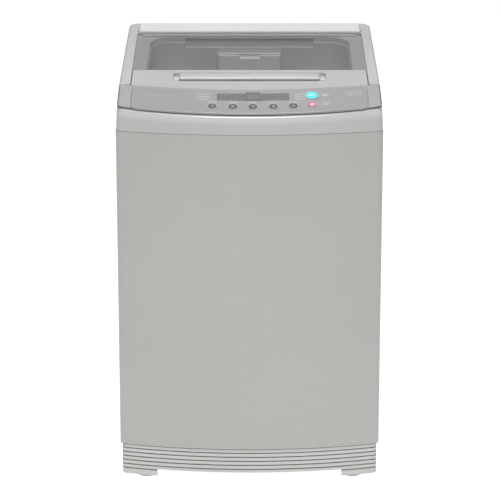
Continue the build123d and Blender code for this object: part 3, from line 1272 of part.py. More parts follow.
def main():
    """Builds every sub-part and writes its file."""
    os.makedirs("parts", exist_ok=True)
    save(make_cabinet(), "cabinet")
    save(make_rear_panel(), "rear_panel")
    save(make_rear_screws(), "rear_panel_screws")
    save(make_cord_gland(), "cord_gland")
    save(make_base(), "base_frame")
    save(make_foot(-FOOT_X, -FOOT_Y), "foot_front_left")
    save(make_foot(FOOT_X, -FOOT_Y), "foot_front_right")
    save(make_foot(-FOOT_X, FOOT_Y) + make_foot(FOOT_X, FOOT_Y), "rear_feet")
    save(make_top_cover(), "top_cover")
    save(make_deck_cover(), "rear_deck_cover")
    save(make_control_panel(), "control_panel")
    save(make_display_lens(), "display_lens")
    save(make_bezels(), "button_bezels")
    save(make_display_board(), "display_board")
    save(make_control_box(), "control_box")
    save(make_lid_switch(), "lid_switch")
    for name, place in zip(BUTTON_NAMES, button_places()):
        save(make_button(*place), name)
    save(make_lid_front(), "lid_front")
    save(make_handle_bar(), "lid_handle_bar")
    save(make_lid_glass(), "lid_glass")
    save(make_hinge_rail(), "lid_hinge_rail")
    save(make_lid_bumpers(), "lid_bumpers")
    save(make_dispenser_housing(), "dispenser_housing")
    save(make_drawer(), "dispenser_drawer")
    save(make_inlet_valve(), "inlet_valve")
    save(make_inlet_hose(), "inlet_hose")
    save(make_pressure_switch(), "pressure_switch")
    save(make_pressure_hose(), "pressure_hose")
    save(make_corner_brackets(), "corner_brackets")
    save(make_suspension_rods(), "suspension_rods")
    save(make_springs(), "suspension_springs")
    save(make_spring_cups(), "spring_cups")
    save(make_outer_tub(), "outer_tub")
    save(make_tub_cover(), "tub_cover")
    save(make_mounting_plate(), "mounting_plate")
    save(make_clutch(), "clutch_unit")
    save(make_tub_bearing(), "tub_bearing")
    save(make_motor(), "motor")
    save(make_motor_pulley(), "motor_pulley")
    save(make_belt(), "drive_belt")
    save(make_drive_pulley(), "drive_pulley")
    save(make_drive_shaft(), "drive_shaft")
    save(make_pulsator(), "pulsator")
    save(make_pulsator_screw(), "pulsator_screw")
    save(make_basket(), "basket")
    save(make_basket_base(), "basket_base")
    save(make_balance_ring(), "balance_ring")
    save(make_spin_tube(), "spin_tube")
    save(make_lint_filter(), "lint_filter")
    save(make_drain_valve(), "drain_valve")
    save(make_valve_plunger(), "valve_plunger")
    save(make_drain_actuator(), "drain_actuator")
    save(make_drain_bellows(), "drain_bellows")
    save(make_drain_pipe(), "drain_pipe")


if __name__ == "__main__":
    main()
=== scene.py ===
from math import atan2, cos, pi, radians, sin, tan

import bpy
import numpy as np
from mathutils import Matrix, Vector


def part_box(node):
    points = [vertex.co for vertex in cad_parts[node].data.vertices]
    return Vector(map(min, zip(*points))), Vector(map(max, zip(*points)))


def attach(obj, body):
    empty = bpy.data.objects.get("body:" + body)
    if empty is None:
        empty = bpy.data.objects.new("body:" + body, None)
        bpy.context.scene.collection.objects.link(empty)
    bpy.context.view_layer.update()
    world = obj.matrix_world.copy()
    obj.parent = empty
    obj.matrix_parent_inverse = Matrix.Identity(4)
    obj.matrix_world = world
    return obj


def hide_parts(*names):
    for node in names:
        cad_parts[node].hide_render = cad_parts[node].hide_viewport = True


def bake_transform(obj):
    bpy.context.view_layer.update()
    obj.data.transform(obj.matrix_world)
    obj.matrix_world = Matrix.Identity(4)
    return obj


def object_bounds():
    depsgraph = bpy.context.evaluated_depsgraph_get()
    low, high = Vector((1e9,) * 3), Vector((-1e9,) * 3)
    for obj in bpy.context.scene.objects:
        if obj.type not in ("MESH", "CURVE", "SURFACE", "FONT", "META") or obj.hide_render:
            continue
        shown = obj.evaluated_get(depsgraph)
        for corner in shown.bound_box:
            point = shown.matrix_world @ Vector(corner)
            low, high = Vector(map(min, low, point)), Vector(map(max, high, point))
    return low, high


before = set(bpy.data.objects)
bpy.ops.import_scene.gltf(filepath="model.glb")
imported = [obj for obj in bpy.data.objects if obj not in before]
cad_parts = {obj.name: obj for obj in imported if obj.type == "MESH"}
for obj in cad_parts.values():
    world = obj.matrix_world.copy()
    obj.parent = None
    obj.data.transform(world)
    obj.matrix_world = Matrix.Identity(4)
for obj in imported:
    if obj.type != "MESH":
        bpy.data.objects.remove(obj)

CAD_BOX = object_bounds()

MM = 0.001

# ---- console geometry, in metres, as the washer's CAD frame has it ----
BOW_FRONT_Y = -0.290
BOW_RADIUS = 0.9725
CONSOLE_FRONT_Z = 0.7962
CONSOLE_TILT = radians(11.0)
CONSOLE_TOP_Y = -0.207
CONSOLE_TOP_RADIUS = 0.9596
LID_TILT = radians(4.79)
LID_LINE_Y = -0.1736
LID_LINE_Z = 0.8313
SEAM_LEVEL = 0.753
ZONE_LINE_Y = -0.170
ZONE_SOFT = 0.002
# height of the painted seam shadow line over the seam level
SEAM_SHADOW_LINE = 0.0013
WELL_HALF_WIDTH = 0.2375


# ---- mesh building ----
def bow(x, front, radius):
    """Y of a circular bow with its foremost point at x = 0: front + radius - sqrt(radius^2 - x^2)."""
    return front + radius - np.sqrt(radius ** 2 - x ** 2)


def console_edges(x):
    """Lower and upper edge of the sloping console at x. The lower edge is the cabinet's bow on a plane that
    rises backwards at the console tilt, and the upper edge is a second bow on the lid's plane."""
    y0 = bow(x, BOW_FRONT_Y, BOW_RADIUS)
    y1 = bow(x, CONSOLE_TOP_Y, CONSOLE_TOP_RADIUS)
    low = np.stack([x, y0, CONSOLE_FRONT_Z + (y0 - BOW_FRONT_Y) * tan(CONSOLE_TILT)], -1)
    high = np.stack([x, y1, LID_LINE_Z + (y1 - LID_LINE_Y) * tan(LID_TILT)], -1)
    return low, high


def console_points(x, s, lift):
    """Points on the console: from the lower edge at x, s up the ruling that joins both edges, then lift along
    the surface normal, which is the cross product of the sideways and upward directions."""
    x, s, lift = np.broadcast_arrays(np.asarray(x, float), s, lift)
    low, high = console_edges(x)
    up = high - low
    up = up / np.linalg.norm(up, axis=-1, keepdims=True)
    step = console_edges(x + MM)[0] - low
    normal = np.cross(step, up)
    normal = normal / np.linalg.norm(normal, axis=-1, keepdims=True)
    return low + up * s[..., None] + normal * lift[..., None]


def surface(points, close_u=False, close_v=False, flip=False):
    """Vertices and quads of a grid of points with shape (rows, columns, 3)."""
    rows, columns = points.shape[:2]
    index = np.arange(rows * columns).reshape(rows, columns)
    if close_u:
        index = np.vstack([index, index[:1]])
    if close_v:
        index = np.hstack([index, index[:, :1]])
    quads = np.stack([index[:-1, :-1], index[:-1, 1:], index[1:, 1:], index[1:, :-1]], -1).reshape(-1, 4)
    return points.reshape(-1, 3), quads[:, ::-1] if flip else quads


def joined(parts):
    """One vertex array and one face list from several (vertices, faces) pairs."""
    offset = 0
    points = []
    faces = []
    for verts, quads in parts:
        points.append(verts)
        faces.extend((quads + offset).tolist())
        offset += len(verts)
    return np.concatenate(points), faces


def piece(name, verts, faces, finish, body=None, smooth=True, stands_for=()):
    """Makes a mesh object at the origin, gives it its finish and lets it ride on its body."""
    mesh = bpy.data.meshes.new(name)
    mesh.from_pydata(np.asarray(verts, float).tolist(), [], [list(f) for f in faces])
    mesh.validate()
    mesh.polygons.foreach_set("use_smooth", np.full(len(mesh.polygons), smooth))
    mesh.materials.append(finish)
    mesh.update()
    obj = bpy.data.objects.new(name, mesh)
    bpy.context.scene.collection.objects.link(obj)
    if body:
        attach(obj, body)
    if stands_for:
        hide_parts(*stands_for)
    return obj


# ---- procedural finishes ----
def add(tree, kind, inputs=None, **settings):
    """Adds one shader node; an input is a number, a colour or another node's output."""
    node = tree.nodes.new(kind)
    for key, value in settings.items():
        setattr(node, key, value)
    for key, value in (inputs or {}).items():
        if isinstance(value, bpy.types.NodeSocket):
            tree.links.new(value, node.inputs[key])
        else:
            node.inputs[key].default_value = value
    return node


def mix(tree, factor, first, second, mode="MIX"):
    """Colour mix of two sockets or colours."""
    node = add(tree, "ShaderNodeMix", data_type="RGBA", blend_type=mode)
    for socket, value in ((node.inputs[0], factor), (node.inputs[6], first), (node.inputs[7], second)):
        if isinstance(value, bpy.types.NodeSocket):
            tree.links.new(value, socket)
        else:
            socket.default_value = value
    return node.outputs[2]


def span(tree, value, low, high, to_low, to_high):
    """Maps a value from one range to another, clamped."""
    return add(tree, "ShaderNodeMapRange", {
        "Value": value, "From Min": low, "From Max": high, "To Min": to_low, "To Max": to_high,
    }).outputs[0]


def grey(tree, value, low, high, contrast):
    """A grey that runs from one less to one more than the contrast while the value runs from low to high."""
    return add(tree, "ShaderNodeCombineColor", {
        key: span(tree, value, low, high, 1 - contrast, 1 + contrast) for key in ("Red", "Green", "Blue")
    }).outputs[0]


def shade(colour, factor):
    """A colour made lighter or darker, with its alpha at one."""
    return tuple(min(1.0, c * factor) for c in colour[:3]) + (1.0,)


def calculate(tree, first, second, operation):
    """One sum on two sockets or numbers."""
    return add(tree, "ShaderNodeMath", {0: first, 1: second}, operation=operation).outputs[0]


# factors of the top cover's painted light and shade: lighter well and rails, darker seam shadow line, lip
# highlight
PAINTED_LIGHT_FACTOR = 1.42
SEAM_SHADOW_FACTOR = 0.45
LIP_HIGHLIGHT_FACTOR = 1.35
# colour and height of the darkening towards the bottom
LOW_DARK_COLOUR = (0.30, 0.28, 0.25, 1)
LOW_DARK_HEIGHT = 0.09
FINE_COAT = 0.08


def paint_cover_light_and_shade(tree, place, tone, colour, factor):
    """Paints light and shade on the top cover's zones. A mask of the height over the slot's tilted plane,
    ahead of the lid's front line, carries painted shade, the console's darker tone, and a soft band just
    under the slot carries a painted highlight, a lighter tone on the apron's lip. Behind that line the inner
    well, told by the distance from the middle, and the upward-facing rails get painted light, a lighter tone.
    A thin dark line along the seam with the cabinet is a painted shadow, with no gap modelled there."""
    x, y, z = add(tree, "ShaderNodeSeparateXYZ", {"Vector": place}).outputs[:3]
    aside = calculate(tree, x, 0.0, "ABSOLUTE")
    normal = add(tree, "ShaderNodeNewGeometry").outputs["Normal"]
    facing = add(tree, "ShaderNodeSeparateXYZ", {"Vector": normal}).outputs[2]
    slope = tan(CONSOLE_TILT)
    rise = calculate(tree, y, slope, "MULTIPLY")
    plane = calculate(tree, rise, CONSOLE_FRONT_Z - BOW_FRONT_Y * slope, "ADD")
    over = calculate(tree, z, plane, "SUBTRACT")
    above = span(tree, over, -0.0015, 0.0, 0.0, 1.0)
    ahead = span(tree, y, ZONE_LINE_Y + ZONE_SOFT, ZONE_LINE_Y - ZONE_SOFT, 0.0, 1.0)
    # painted shade: the console ahead of the lid's front line gets a darker tone
    tone = mix(tree, calculate(tree, above, ahead, "MULTIPLY"), tone, shade(colour, factor))
    # painted light: the inner well and the upward-facing rails behind the lid's front line get a lighter tone
    behind = span(tree, y, ZONE_LINE_Y - ZONE_SOFT, ZONE_LINE_Y + ZONE_SOFT, 0.0, 1.0)
    inward = span(tree, aside, WELL_HALF_WIDTH - 0.0015, WELL_HALF_WIDTH + 0.0015, 1.0, 0.0)
    upward = span(tree, facing, 0.5, 0.8, 0.0, 1.0)
    painted_light_mask = calculate(tree, calculate(tree, inward, upward, "MAXIMUM"), behind, "MULTIPLY")
    tone = mix(tree, painted_light_mask, tone, shade(colour, PAINTED_LIGHT_FACTOR))
    # painted shadow: a thin dark line along the seam with the cabinet, where no gap is modelled
    line = span(tree, z, SEAM_LEVEL + SEAM_SHADOW_LINE - 0.0001, SEAM_LEVEL + SEAM_SHADOW_LINE + 0.0001, 1.0, 0.0)
    tone = mix(tree, line, tone, shade(colour, SEAM_SHADOW_FACTOR))
    # painted highlight: a lighter band on the apron's lip just under the slot, fading downwards
    rising = span(tree, over, -0.024, -0.006, 0.0, 0.95)
    front = span(tree, y, -0.20, -0.23, 0.0, 1.0)
    below_slot = span(tree, over, -0.0035, -0.0045, 0.0, 1.0)
    lip_highlight_mask = calculate(tree, calculate(tree, rising, front, "MULTIPLY"), below_slot, "MULTIPLY")
    return mix(tree, lip_highlight_mask, tone, shade(colour, LIP_HIGHLIGHT_FACTOR))


def finish(name, colour, rough, metallic=0.0, coat=0.0, specular=0.5, blotch=0.04, blotch_scale=4.0,
           grain=900.0, grain_depth=1.5e-5, fleck=0.03, stretch=(1, 1, 1), cells=0.0, cell_contrast=0.2,
           edge=0.0006, rim_wear_and_highlight=0.25, rim_wear_and_highlight_colour=None, low_darkening=0.0, scratches=0.0, glow=0.0, alpha=1.0, painted_cover_light_and_shade=0.0):
    """A procedural finish on Object coordinates. Colour varies with a broad and a fine noise and, where
    asked, with cells; roughness follows its own noise; the surface has fine grain, softened edges and rims in
    another tone, which are partly rubbed wear and partly painted edge highlight. Where asked the colour is
    darker towards the bottom, in patches, and a factor paints light and shade on the top cover's zones."""
    material = bpy.data.materials.new(name)
    material.use_nodes = True
    tree = material.node_tree
    tree.nodes.clear()
    place = add(tree, "ShaderNodeTexCoord").outputs["Object"]
    along = add(tree, "ShaderNodeMapping", {"Vector": place, "Scale": stretch}).outputs[0]
    broad = add(tree, "ShaderNodeTexNoise",
                {"Vector": place, "Scale": blotch_scale, "Detail": 4.0}).outputs[0]
    fine = add(tree, "ShaderNodeTexNoise", {"Vector": along, "Scale": grain, "Detail": 2.0}).outputs[0]
    middle = add(tree, "ShaderNodeTexNoise", {"Vector": along, "Scale": 38.0, "Detail": 5.0}).outputs[0]
    tone = mix(tree, span(tree, broad, 0.3, 0.7, 0, 1), shade(colour, 1 - blotch), shade(colour, 1 + blotch))
    grit = grey(tree, fine, 0.25, 0.75, fleck)
    tone = mix(tree, 1.0, tone, grit, "MULTIPLY")
    height = fine
    if cells:
        cell = add(tree, "ShaderNodeTexVoronoi", {"Vector": along, "Scale": cells})
        value = add(tree, "ShaderNodeSeparateColor", {"Color": cell.outputs["Color"]}).outputs[0]
        spangle = grey(tree, value, 0, 1, cell_contrast)
        tone = mix(tree, 1.0, tone, spangle, "MULTIPLY")
    # painted light and shade on the top cover's zones
    if painted_cover_light_and_shade:
        tone = paint_cover_light_and_shade(tree, place, tone, colour, painted_cover_light_and_shade)
    # darker towards the bottom, in patches
    if low_darkening:
        level = add(tree, "ShaderNodeSeparateXYZ", {"Vector": place}).outputs[2]
        low = span(tree, level, 0.0, LOW_DARK_HEIGHT, low_darkening, 0.0)
        tone = mix(tree, calculate(tree, low, middle, "MULTIPLY"), tone, LOW_DARK_COLOUR)
    bevel = add(tree, "ShaderNodeBevel", {"Radius": edge}, samples=4).outputs[0]
    # rims in another tone, by default lighter: partly rubbed wear, partly painted edge highlight
    if rim_wear_and_highlight:
        flat = add(tree, "ShaderNodeNewGeometry").outputs["Normal"]
        turn = add(tree, "ShaderNodeVectorMath", {0: bevel, 1: flat},
                   operation="DOT_PRODUCT").outputs["Value"]
        rim = span(tree, turn, 0.985, 0.8, 0.0, rim_wear_and_highlight)
        rim = calculate(tree, rim, span(tree, middle, 0.35, 0.6, 0.2, 1.0), "MULTIPLY")
        tone = mix(tree, rim, tone, rim_wear_and_highlight_colour or shade(colour, 1.35))
    low_rough, high_rough = rough
    gloss = span(tree, middle, 0.3, 0.7, low_rough, high_rough)
    if scratches:
        lines = add(tree, "ShaderNodeMapping", {"Vector": place, "Scale": (260.0, 9.0, 9.0),
                                                "Rotation": (0.2, 0.5, 0.3)}).outputs[0]
        marks = add(tree, "ShaderNodeTexNoise", {"Vector": lines, "Scale": 3.0, "Detail": 3.0}).outputs[0]
        gloss = calculate(tree, gloss, span(tree, marks, 0.62, 0.72, 0.0, scratches), "ADD")
    bump = add(tree, "ShaderNodeBump", {"Height": height, "Distance": grain_depth, "Strength": 1.0,
                                        "Normal": bevel}).outputs[0]
    shader = add(tree, "ShaderNodeBsdfPrincipled", {
        "Base Color": tone, "Roughness": gloss, "Metallic": metallic, "Normal": bump, "Alpha": alpha,
        "Coat Weight": coat, "Coat Roughness": FINE_COAT, "Specular IOR Level": specular,
    })
    if glow:
        tree.links.new(tone, shader.inputs["Emission Color"])
        shader.inputs["Emission Strength"].default_value = glow
    out = add(tree, "ShaderNodeOutputMaterial")
    tree.links.new(shader.outputs[0], out.inputs[0])
    return material


FINISHES = {
    "silver_paint": finish("silver_paint", (0.395, 0.387, 0.374), (0.34, 0.42), metallic=0.35,
                           coat=0.15, blotch=0.015, cells=1500.0, cell_contrast=0.05, fleck=0.02,
                           grain_depth=8e-6, edge=0.0008, rim_wear_and_highlight=0.15),
    # the top cover's plastic carries painted light and shade; its factor 0.64 darkens the console as painted
    # shade
    "silver_plastic": finish("silver_plastic", (0.44, 0.436, 0.43), (0.32, 0.42), metallic=0.2,
                             coat=0.1, blotch=0.015, cells=1700.0, cell_contrast=0.04, fleck=0.02,
                             edge=0.001, rim_wear_and_highlight=0.3, painted_cover_light_and_shade=0.64),
    "base_plastic": finish("base_plastic", (0.56, 0.552, 0.54), (0.42, 0.55), grain=1300.0,
                           grain_depth=2.5e-5, blotch=0.03, fleck=0.04, low_darkening=0.25, edge=0.0005,
                           rim_wear_and_highlight=0.3),
    "deck_plastic": finish("deck_plastic", (0.74, 0.74, 0.73), (0.28, 0.36), blotch=0.012, edge=0.0002,
                           rim_wear_and_highlight=0),
    "panel_film": finish("panel_film", (0.25, 0.25, 0.252), (0.34, 0.42), metallic=0.05, coat=0.05,
                         stretch=(0.12, 1, 1), grain=1500.0, fleck=0.035, blotch=0.02, edge=0.0005,
                         rim_wear_and_highlight=0.35),
    "smoked_lens": finish("smoked_lens", (0.075, 0.08, 0.085), (0.22, 0.3), coat=0.0, blotch=0.04,
                          edge=0.0004, rim_wear_and_highlight=0.4, rim_wear_and_highlight_colour=(0.55, 0.55, 0.55, 1)),
    "bezel_metal": finish("bezel_metal", (0.40, 0.40, 0.40), (0.36, 0.46), metallic=0.5, grain=1600.0,
                          stretch=(1, 1, 6), edge=0.0004),
    "button_grey": finish("button_grey", (0.085, 0.085, 0.09), (0.34, 0.42), specular=0.25, edge=0.0005,
                          rim_wear_and_highlight=0.4),
    # emission here paints extra brightness on the cyan and pink caps
    "button_cyan": finish("button_cyan", (0.03, 0.53, 0.57), (0.28, 0.36), coat=0.05, edge=0.0005,
                          glow=0.26),
    "button_pink": finish("button_pink", (0.46, 0.12, 0.21), (0.28, 0.36), coat=0.05, edge=0.0005,
                          glow=0.08),
    "lid_plastic": finish("lid_plastic", (0.58, 0.58, 0.57), (0.28, 0.38), metallic=0.1, coat=0.15,
                          blotch=0.015, edge=0.001, rim_wear_and_highlight=0.35),
    "handle_plastic": finish("handle_plastic", (0.58, 0.58, 0.58), (0.28, 0.36), metallic=0.05,
                             coat=0.05, edge=0.0008, rim_wear_and_highlight=0.1),
    "grey_rubber": finish("grey_rubber", (0.22, 0.22, 0.22), (0.65, 0.82), grain=700.0,
                          grain_depth=4e-5, fleck=0.08, blotch=0.08, rim_wear_and_highlight=0.2),
    "foot_plastic": finish("foot_plastic", (0.58, 0.575, 0.56), (0.5, 0.65), grain=800.0,
                           grain_depth=4e-5, low_darkening=0.35, blotch=0.05),
    "white_plastic": finish("white_plastic", (0.74, 0.75, 0.74), (0.36, 0.5), grain=1000.0,
                            grain_depth=2e-5, blotch=0.03, edge=0.001),
    "pulsator_plastic": finish("pulsator_plastic", (0.55, 0.60, 0.64), (0.24, 0.36), coat=0.2,
                               blotch=0.03, scratches=0.15, edge=0.0012),
    "grey_pipe": finish("grey_pipe", (0.42, 0.43, 0.44), (0.45, 0.6), grain=900.0, grain_depth=3e-5,
                        blotch=0.05),
    "galvanised": finish("galvanised", (0.60, 0.62, 0.63), (0.34, 0.48), metallic=0.85, cells=95.0,
                         cell_contrast=0.11, blotch=0.05, scratches=0.12, rim_wear_and_highlight=0.3),
    "stainless": finish("stainless", (0.62, 0.62, 0.61), (0.22, 0.34), metallic=1.0,
                        stretch=(0.08, 0.08, 1.6), grain=800.0, fleck=0.07, blotch=0.03, rim_wear_and_highlight=0.2),
    "zinc_steel": finish("zinc_steel", (0.56, 0.55, 0.51), (0.28, 0.42), metallic=0.9, blotch=0.08,
                         scratches=0.15, fleck=0.06),
    "clutch_metal": finish("clutch_metal", (0.50, 0.51, 0.52), (0.45, 0.62), metallic=0.8, grain=420.0,
                           grain_depth=9e-5, fleck=0.08, blotch=0.06),
    "motor_metal": finish("motor_metal", (0.11, 0.115, 0.12), (0.34, 0.48), metallic=0.3, grain=700.0,
                          grain_depth=5e-5, fleck=0.1, rim_wear_and_highlight=0.5, rim_wear_and_highlight_colour=(0.4, 0.4, 0.4, 1)),
    "belt_rubber": finish("belt_rubber", (0.045, 0.045, 0.045), (0.7, 0.85), grain=600.0,
                          grain_depth=5e-5, fleck=0.15, blotch=0.1),
    "circuit_board": finish("circuit_board", (0.06, 0.22, 0.11), (0.28, 0.4), cells=260.0,
                            cell_contrast=0.35, coat=0.2),
    "black_plastic": finish("black_plastic", (0.05, 0.05, 0.055), (0.42, 0.55), grain=1000.0,
                            grain_depth=3e-5, rim_wear_and_highlight=0.4, rim_wear_and_highlight_colour=(0.22, 0.22, 0.22, 1)),
    # the pane's dark rim tone is a painted shadow line round the glass
    "lid_pane": finish("lid_pane", (0.29, 0.30, 0.295), (0.03, 0.07), specular=0.9, coat=0.6,
                       blotch=0.03, fleck=0.0, grain=60.0, grain_depth=1e-6, edge=0.0005, rim_wear_and_highlight=0.5,
                       rim_wear_and_highlight_colour=(0.06, 0.065, 0.065, 1), alpha=0.21),
}
MARK_LIGHT = finish("mark_light", (0.62, 0.62, 0.62), (0.4, 0.5), blotch=0.03, fleck=0.05, rim_wear_and_highlight=0)
MARK_FAINT = finish("mark_faint", (0.46, 0.46, 0.46), (0.4, 0.5), blotch=0.05, fleck=0.05, rim_wear_and_highlight=0)
MARK_DISPLAY = finish("mark_display", (0.16, 0.165, 0.17), (0.3, 0.4), blotch=0.05, fleck=0.04, rim_wear_and_highlight=0)
# emission here paints extra brightness on the white and pink signs
MARK_GLOW = finish("mark_glow", (0.88, 0.93, 0.94), (0.3, 0.4), blotch=0.02, fleck=0.02, rim_wear_and_highlight=0, glow=0.25)
MARK_PINK = finish("mark_pink", (0.62, 0.08, 0.20), (0.3, 0.4), blotch=0.03, fleck=0.02, rim_wear_and_highlight=0, glow=0.15)

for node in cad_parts.values():
    for holder in node.material_slots:
        holder.material = FINISHES[holder.material.name.split(".")[0]]


# ---- spinning basket: perforated sheet ----
HOLE_COLUMNS = 76
HOLE_ROWS = 30
HOLE_R = 2.1 * MM
SHEET_T = 0.9 * MM
PLAIN_BAND = 26 * MM


def perforated_wall():
    """Drum sheet unrolled to cells: each cell is a rectangle with an eight-sided hole, eight quads join the
    hole's corners to eight points on the cell's rim, and every second row is shifted by half a cell. The
    unrolled width u becomes the angle u / R round the drum."""
    low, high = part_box("basket")
    radius = high.x
    z0, z1 = low.z, high.z
    band = PLAIN_BAND
    pitch = (z1 - z0 - 2 * band) / HOLE_ROWS
    width = 2 * pi / HOLE_COLUMNS
    turn = np.arange(8) * pi / 4
    rim_u = np.array([1, 1, 0, -1, -1, -1, 0, 1]) * width / 2
    rim_v = np.array([0, 1, 1, 1, 0, -1, -1, -1]) * pitch / 2
    hole_u = np.cos(turn) * HOLE_R / radius
    hole_v = np.sin(turn) * HOLE_R
    row, column = np.meshgrid(np.arange(HOLE_ROWS), np.arange(HOLE_COLUMNS), indexing="ij")
    centre_u = ((column + (row % 2) * 0.5) * width).reshape(-1, 1)
    centre_v = (z0 + band + (row + 0.5) * pitch).reshape(-1, 1)
    angle = np.concatenate([centre_u + rim_u, centre_u + hole_u], 1)
    level = np.concatenate([centre_v + rim_v, centre_v + hole_v], 1)
    wall = np.stack([radius * np.cos(angle), radius * np.sin(angle), level], -1).reshape(-1, 3)
    k = np.arange(8)
    cell = np.stack([k, (k + 1) % 8, 8 + (k + 1) % 8, 8 + k], -1)
    quads = (np.arange(len(centre_u)) * 16)[:, None, None] + cell[None]
    parts = [(wall, quads.reshape(-1, 4))]
    edge_angle = np.arange(2 * HOLE_COLUMNS) * width / 2
    for foot, head in ((z0, z0 + band), (z1 - band, z1)):
        rows = np.linspace(foot, head, 5)
        grid = np.stack(np.broadcast_arrays(
            radius * np.cos(edge_angle)[None], radius * np.sin(edge_angle)[None], rows[:, None]), -1)
        parts.append(surface(grid, close_v=True))
    return joined(parts)


def weld(obj, distance=1e-5):
    """Merges doubled vertices by a modifier."""
    obj.modifiers.new("weld", "WELD").merge_threshold = distance


verts, faces = perforated_wall()
drum = piece("basket_sheet", verts, faces, FINISHES["stainless"], "spin_basket",
             stands_for=["basket"])
weld(drum)
wall = drum.modifiers.new("sheet", "SOLIDIFY")
wall.thickness = SHEET_T
wall.offset = -1


# ---- suspension springs, drain bellows and pressure hose ----
def swept_tube(path, radius, sides=10):
    """Tube round a path: at each path point a circle of the given radius in the plane square to the path,
    turned from the path's tangent and the upright direction."""
    path = np.asarray(path, float)
    ahead = np.gradient(path, axis=0)
    ahead /= np.linalg.norm(ahead, axis=1, keepdims=True)
    side = np.cross(ahead, np.array([0.31, 0.17, 1.0]))
    side /= np.linalg.norm(side, axis=1, keepdims=True)
    above = np.cross(side, ahead)
    turn = np.arange(sides) * 2 * pi / sides
    radius = np.broadcast_to(radius, len(path))[:, None, None]
    ring = side[:, None] * np.cos(turn)[None, :, None] + above[:, None] * np.sin(turn)[None, :, None]
    return surface(path[:, None] + ring * radius, close_v=True)


def lathe(profile, x, y, segments=40):
    """A profile of (radius, height) points turned round an upright axis at x, y."""
    profile = np.asarray(profile, float)
    turn = np.arange(segments) * 2 * pi / segments
    grid = np.stack(np.broadcast_arrays(
        x + profile[:, :1] * np.cos(turn)[None], y + profile[:, :1] * np.sin(turn)[None], profile[:, 1:]), -1)
    return surface(grid, close_v=True)


WIRE_R = 1.9 * MM
COIL_TURNS = 7
COIL_R = 13.1 * MM
CORNERS = ((-1, -1), (1, -1), (-1, 1), (1, 1))
low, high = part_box("suspension_springs")
coil_low = low.z + WIRE_R
coil_high = high.z - WIRE_R
steps = np.linspace(0, 1, COIL_TURNS * 20 + 1)
lift = np.clip((steps - 0.07) / 0.86, 0, 1)
coils = []
rod_x = (high.x - low.x) / 2 - COIL_R - WIRE_R
rod_y = (high.y - low.y) / 2 - COIL_R - WIRE_R
angle = steps * 2 * pi * (COIL_TURNS + 1)
for sx, sy in CORNERS:
    helix = np.stack([sx * rod_x + COIL_R * np.cos(angle), sy * rod_y + COIL_R * np.sin(angle),
                      coil_low + lift * (coil_high - coil_low)], -1)
    coils.append(swept_tube(helix, WIRE_R, 8))
verts, faces = joined(coils)
springs = piece("suspension_coils", verts, faces, FINISHES["zinc_steel"],
                stands_for=["suspension_springs"])
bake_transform(springs)

low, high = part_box("drain_bellows")
centre = (low + high) / 2
outer = (high.x - low.x) / 2
FOLDS = 6
SLEEVE_WALL = 2.0 * MM
level = np.linspace(0, 1, FOLDS * 12 + 1)
ripple = outer - 1.6 * MM - 2.4 * MM * (0.5 - 0.5 * np.cos(level * FOLDS * 2 * pi))
ends = np.clip(np.minimum(level, 1 - level) * 14, 0, 1)
profile = np.stack([ripple * ends + (outer - 3.4 * MM) * (1 - ends), low.z + level * (high.z - low.z)], -1)
inside = profile[::-1] - np.array([SLEEVE_WALL, 0])
verts, faces = lathe(np.concatenate([profile, inside, profile[:1]]), centre.x, centre.y)
bellows = piece("drain_sleeve", verts, faces, FINISHES["grey_rubber"],
                stands_for=["drain_bellows"])
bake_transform(bellows)

HOSE_RIDGES = 20
HOSE_WALL = 1.6 * MM
low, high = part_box("pressure_hose")
centre = (low + high) / 2
level = np.linspace(low.z, high.z, 60)
share = np.linspace(0, 1, 60)
outer = (high.x - low.x) / 2
profile = np.stack([outer - 0.25 * MM * (0.5 - 0.5 * np.cos(share * HOSE_RIDGES * 2 * pi)), level], -1)
inside = profile[::-1] - np.array([HOSE_WALL, 0])
verts, faces = lathe(np.concatenate([profile, inside, profile[:1]]), centre.x, centre.y, 24)
hose = piece("level_hose", verts, faces, FINISHES["grey_rubber"],
             stands_for=["pressure_hose"])
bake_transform(hose)


# ---- printed marks on the console, in millimetres along and up its surface ----
MARK_LIFT = 0.06 * MM
LENS_LIFT = -0.22 * MM
DIGIT_LIFT = -0.2 * MM


def dash(x0, x1, s0, s1, lift=MARK_LIFT):
    """A thin rectangle on the console from x0 to x1 and s0 to s1 (millimetres), bowed with the surface."""
    x = np.linspace(x0, x1, 5) * MM
    s = np.array([s0, s1]) * MM
    return surface(console_points(x[None], s[:, None], lift))


def ring(x, s, inner, outer, start=0.0, stop=360.0, lift=MARK_LIFT, sides=28):
    """Part of a flat ring round x, s between two radii and two angles (millimetres, degrees)."""
    turn = np.radians(np.linspace(start, stop, sides + 1))[:, None]
    reach = np.array([inner, outer])[None]
    return surface(console_points((x + reach * np.cos(turn)) * MM, (s + reach * np.sin(turn)) * MM, lift),
                   flip=True)


def wedge(x, s, size, lift=MARK_LIFT):
    """A small triangle pointing right: a quad whose right side is only a hair long."""
    xs = np.array([[x - size / 2, x - size / 2], [x + size / 2, x + size / 2 - 0.01]])
    ss = np.array([[s + size / 2, s - size / 2], [s + 0.03, s - 0.03]])
    return surface(console_points(xs * MM, ss * MM, lift))


def box_outline(x0, x1, s0, s1, line, lift=MARK_LIFT):
    """Four dashes round a rectangle."""
    return [dash(x0, x1, s0, s0 + line, lift), dash(x0, x1, s1 - line, s1, lift),
            dash(x0, x0 + line, s0 + line, s1 - line, lift), dash(x1 - line, x1, s0 + line, s1 - line, lift)]


# places of the small buttons' row and of the two large ones
SMALL_X = [-74.4, -33.4, 6.8, 47.8, 88.0]
SMALL_S = 28.0
START_X, START_S = 125.5, 62.8
POWER_X, POWER_S = 126.0, 30.9
ROWS = (53.0, 61.0, 69.0)

random = np.random.default_rng(7)


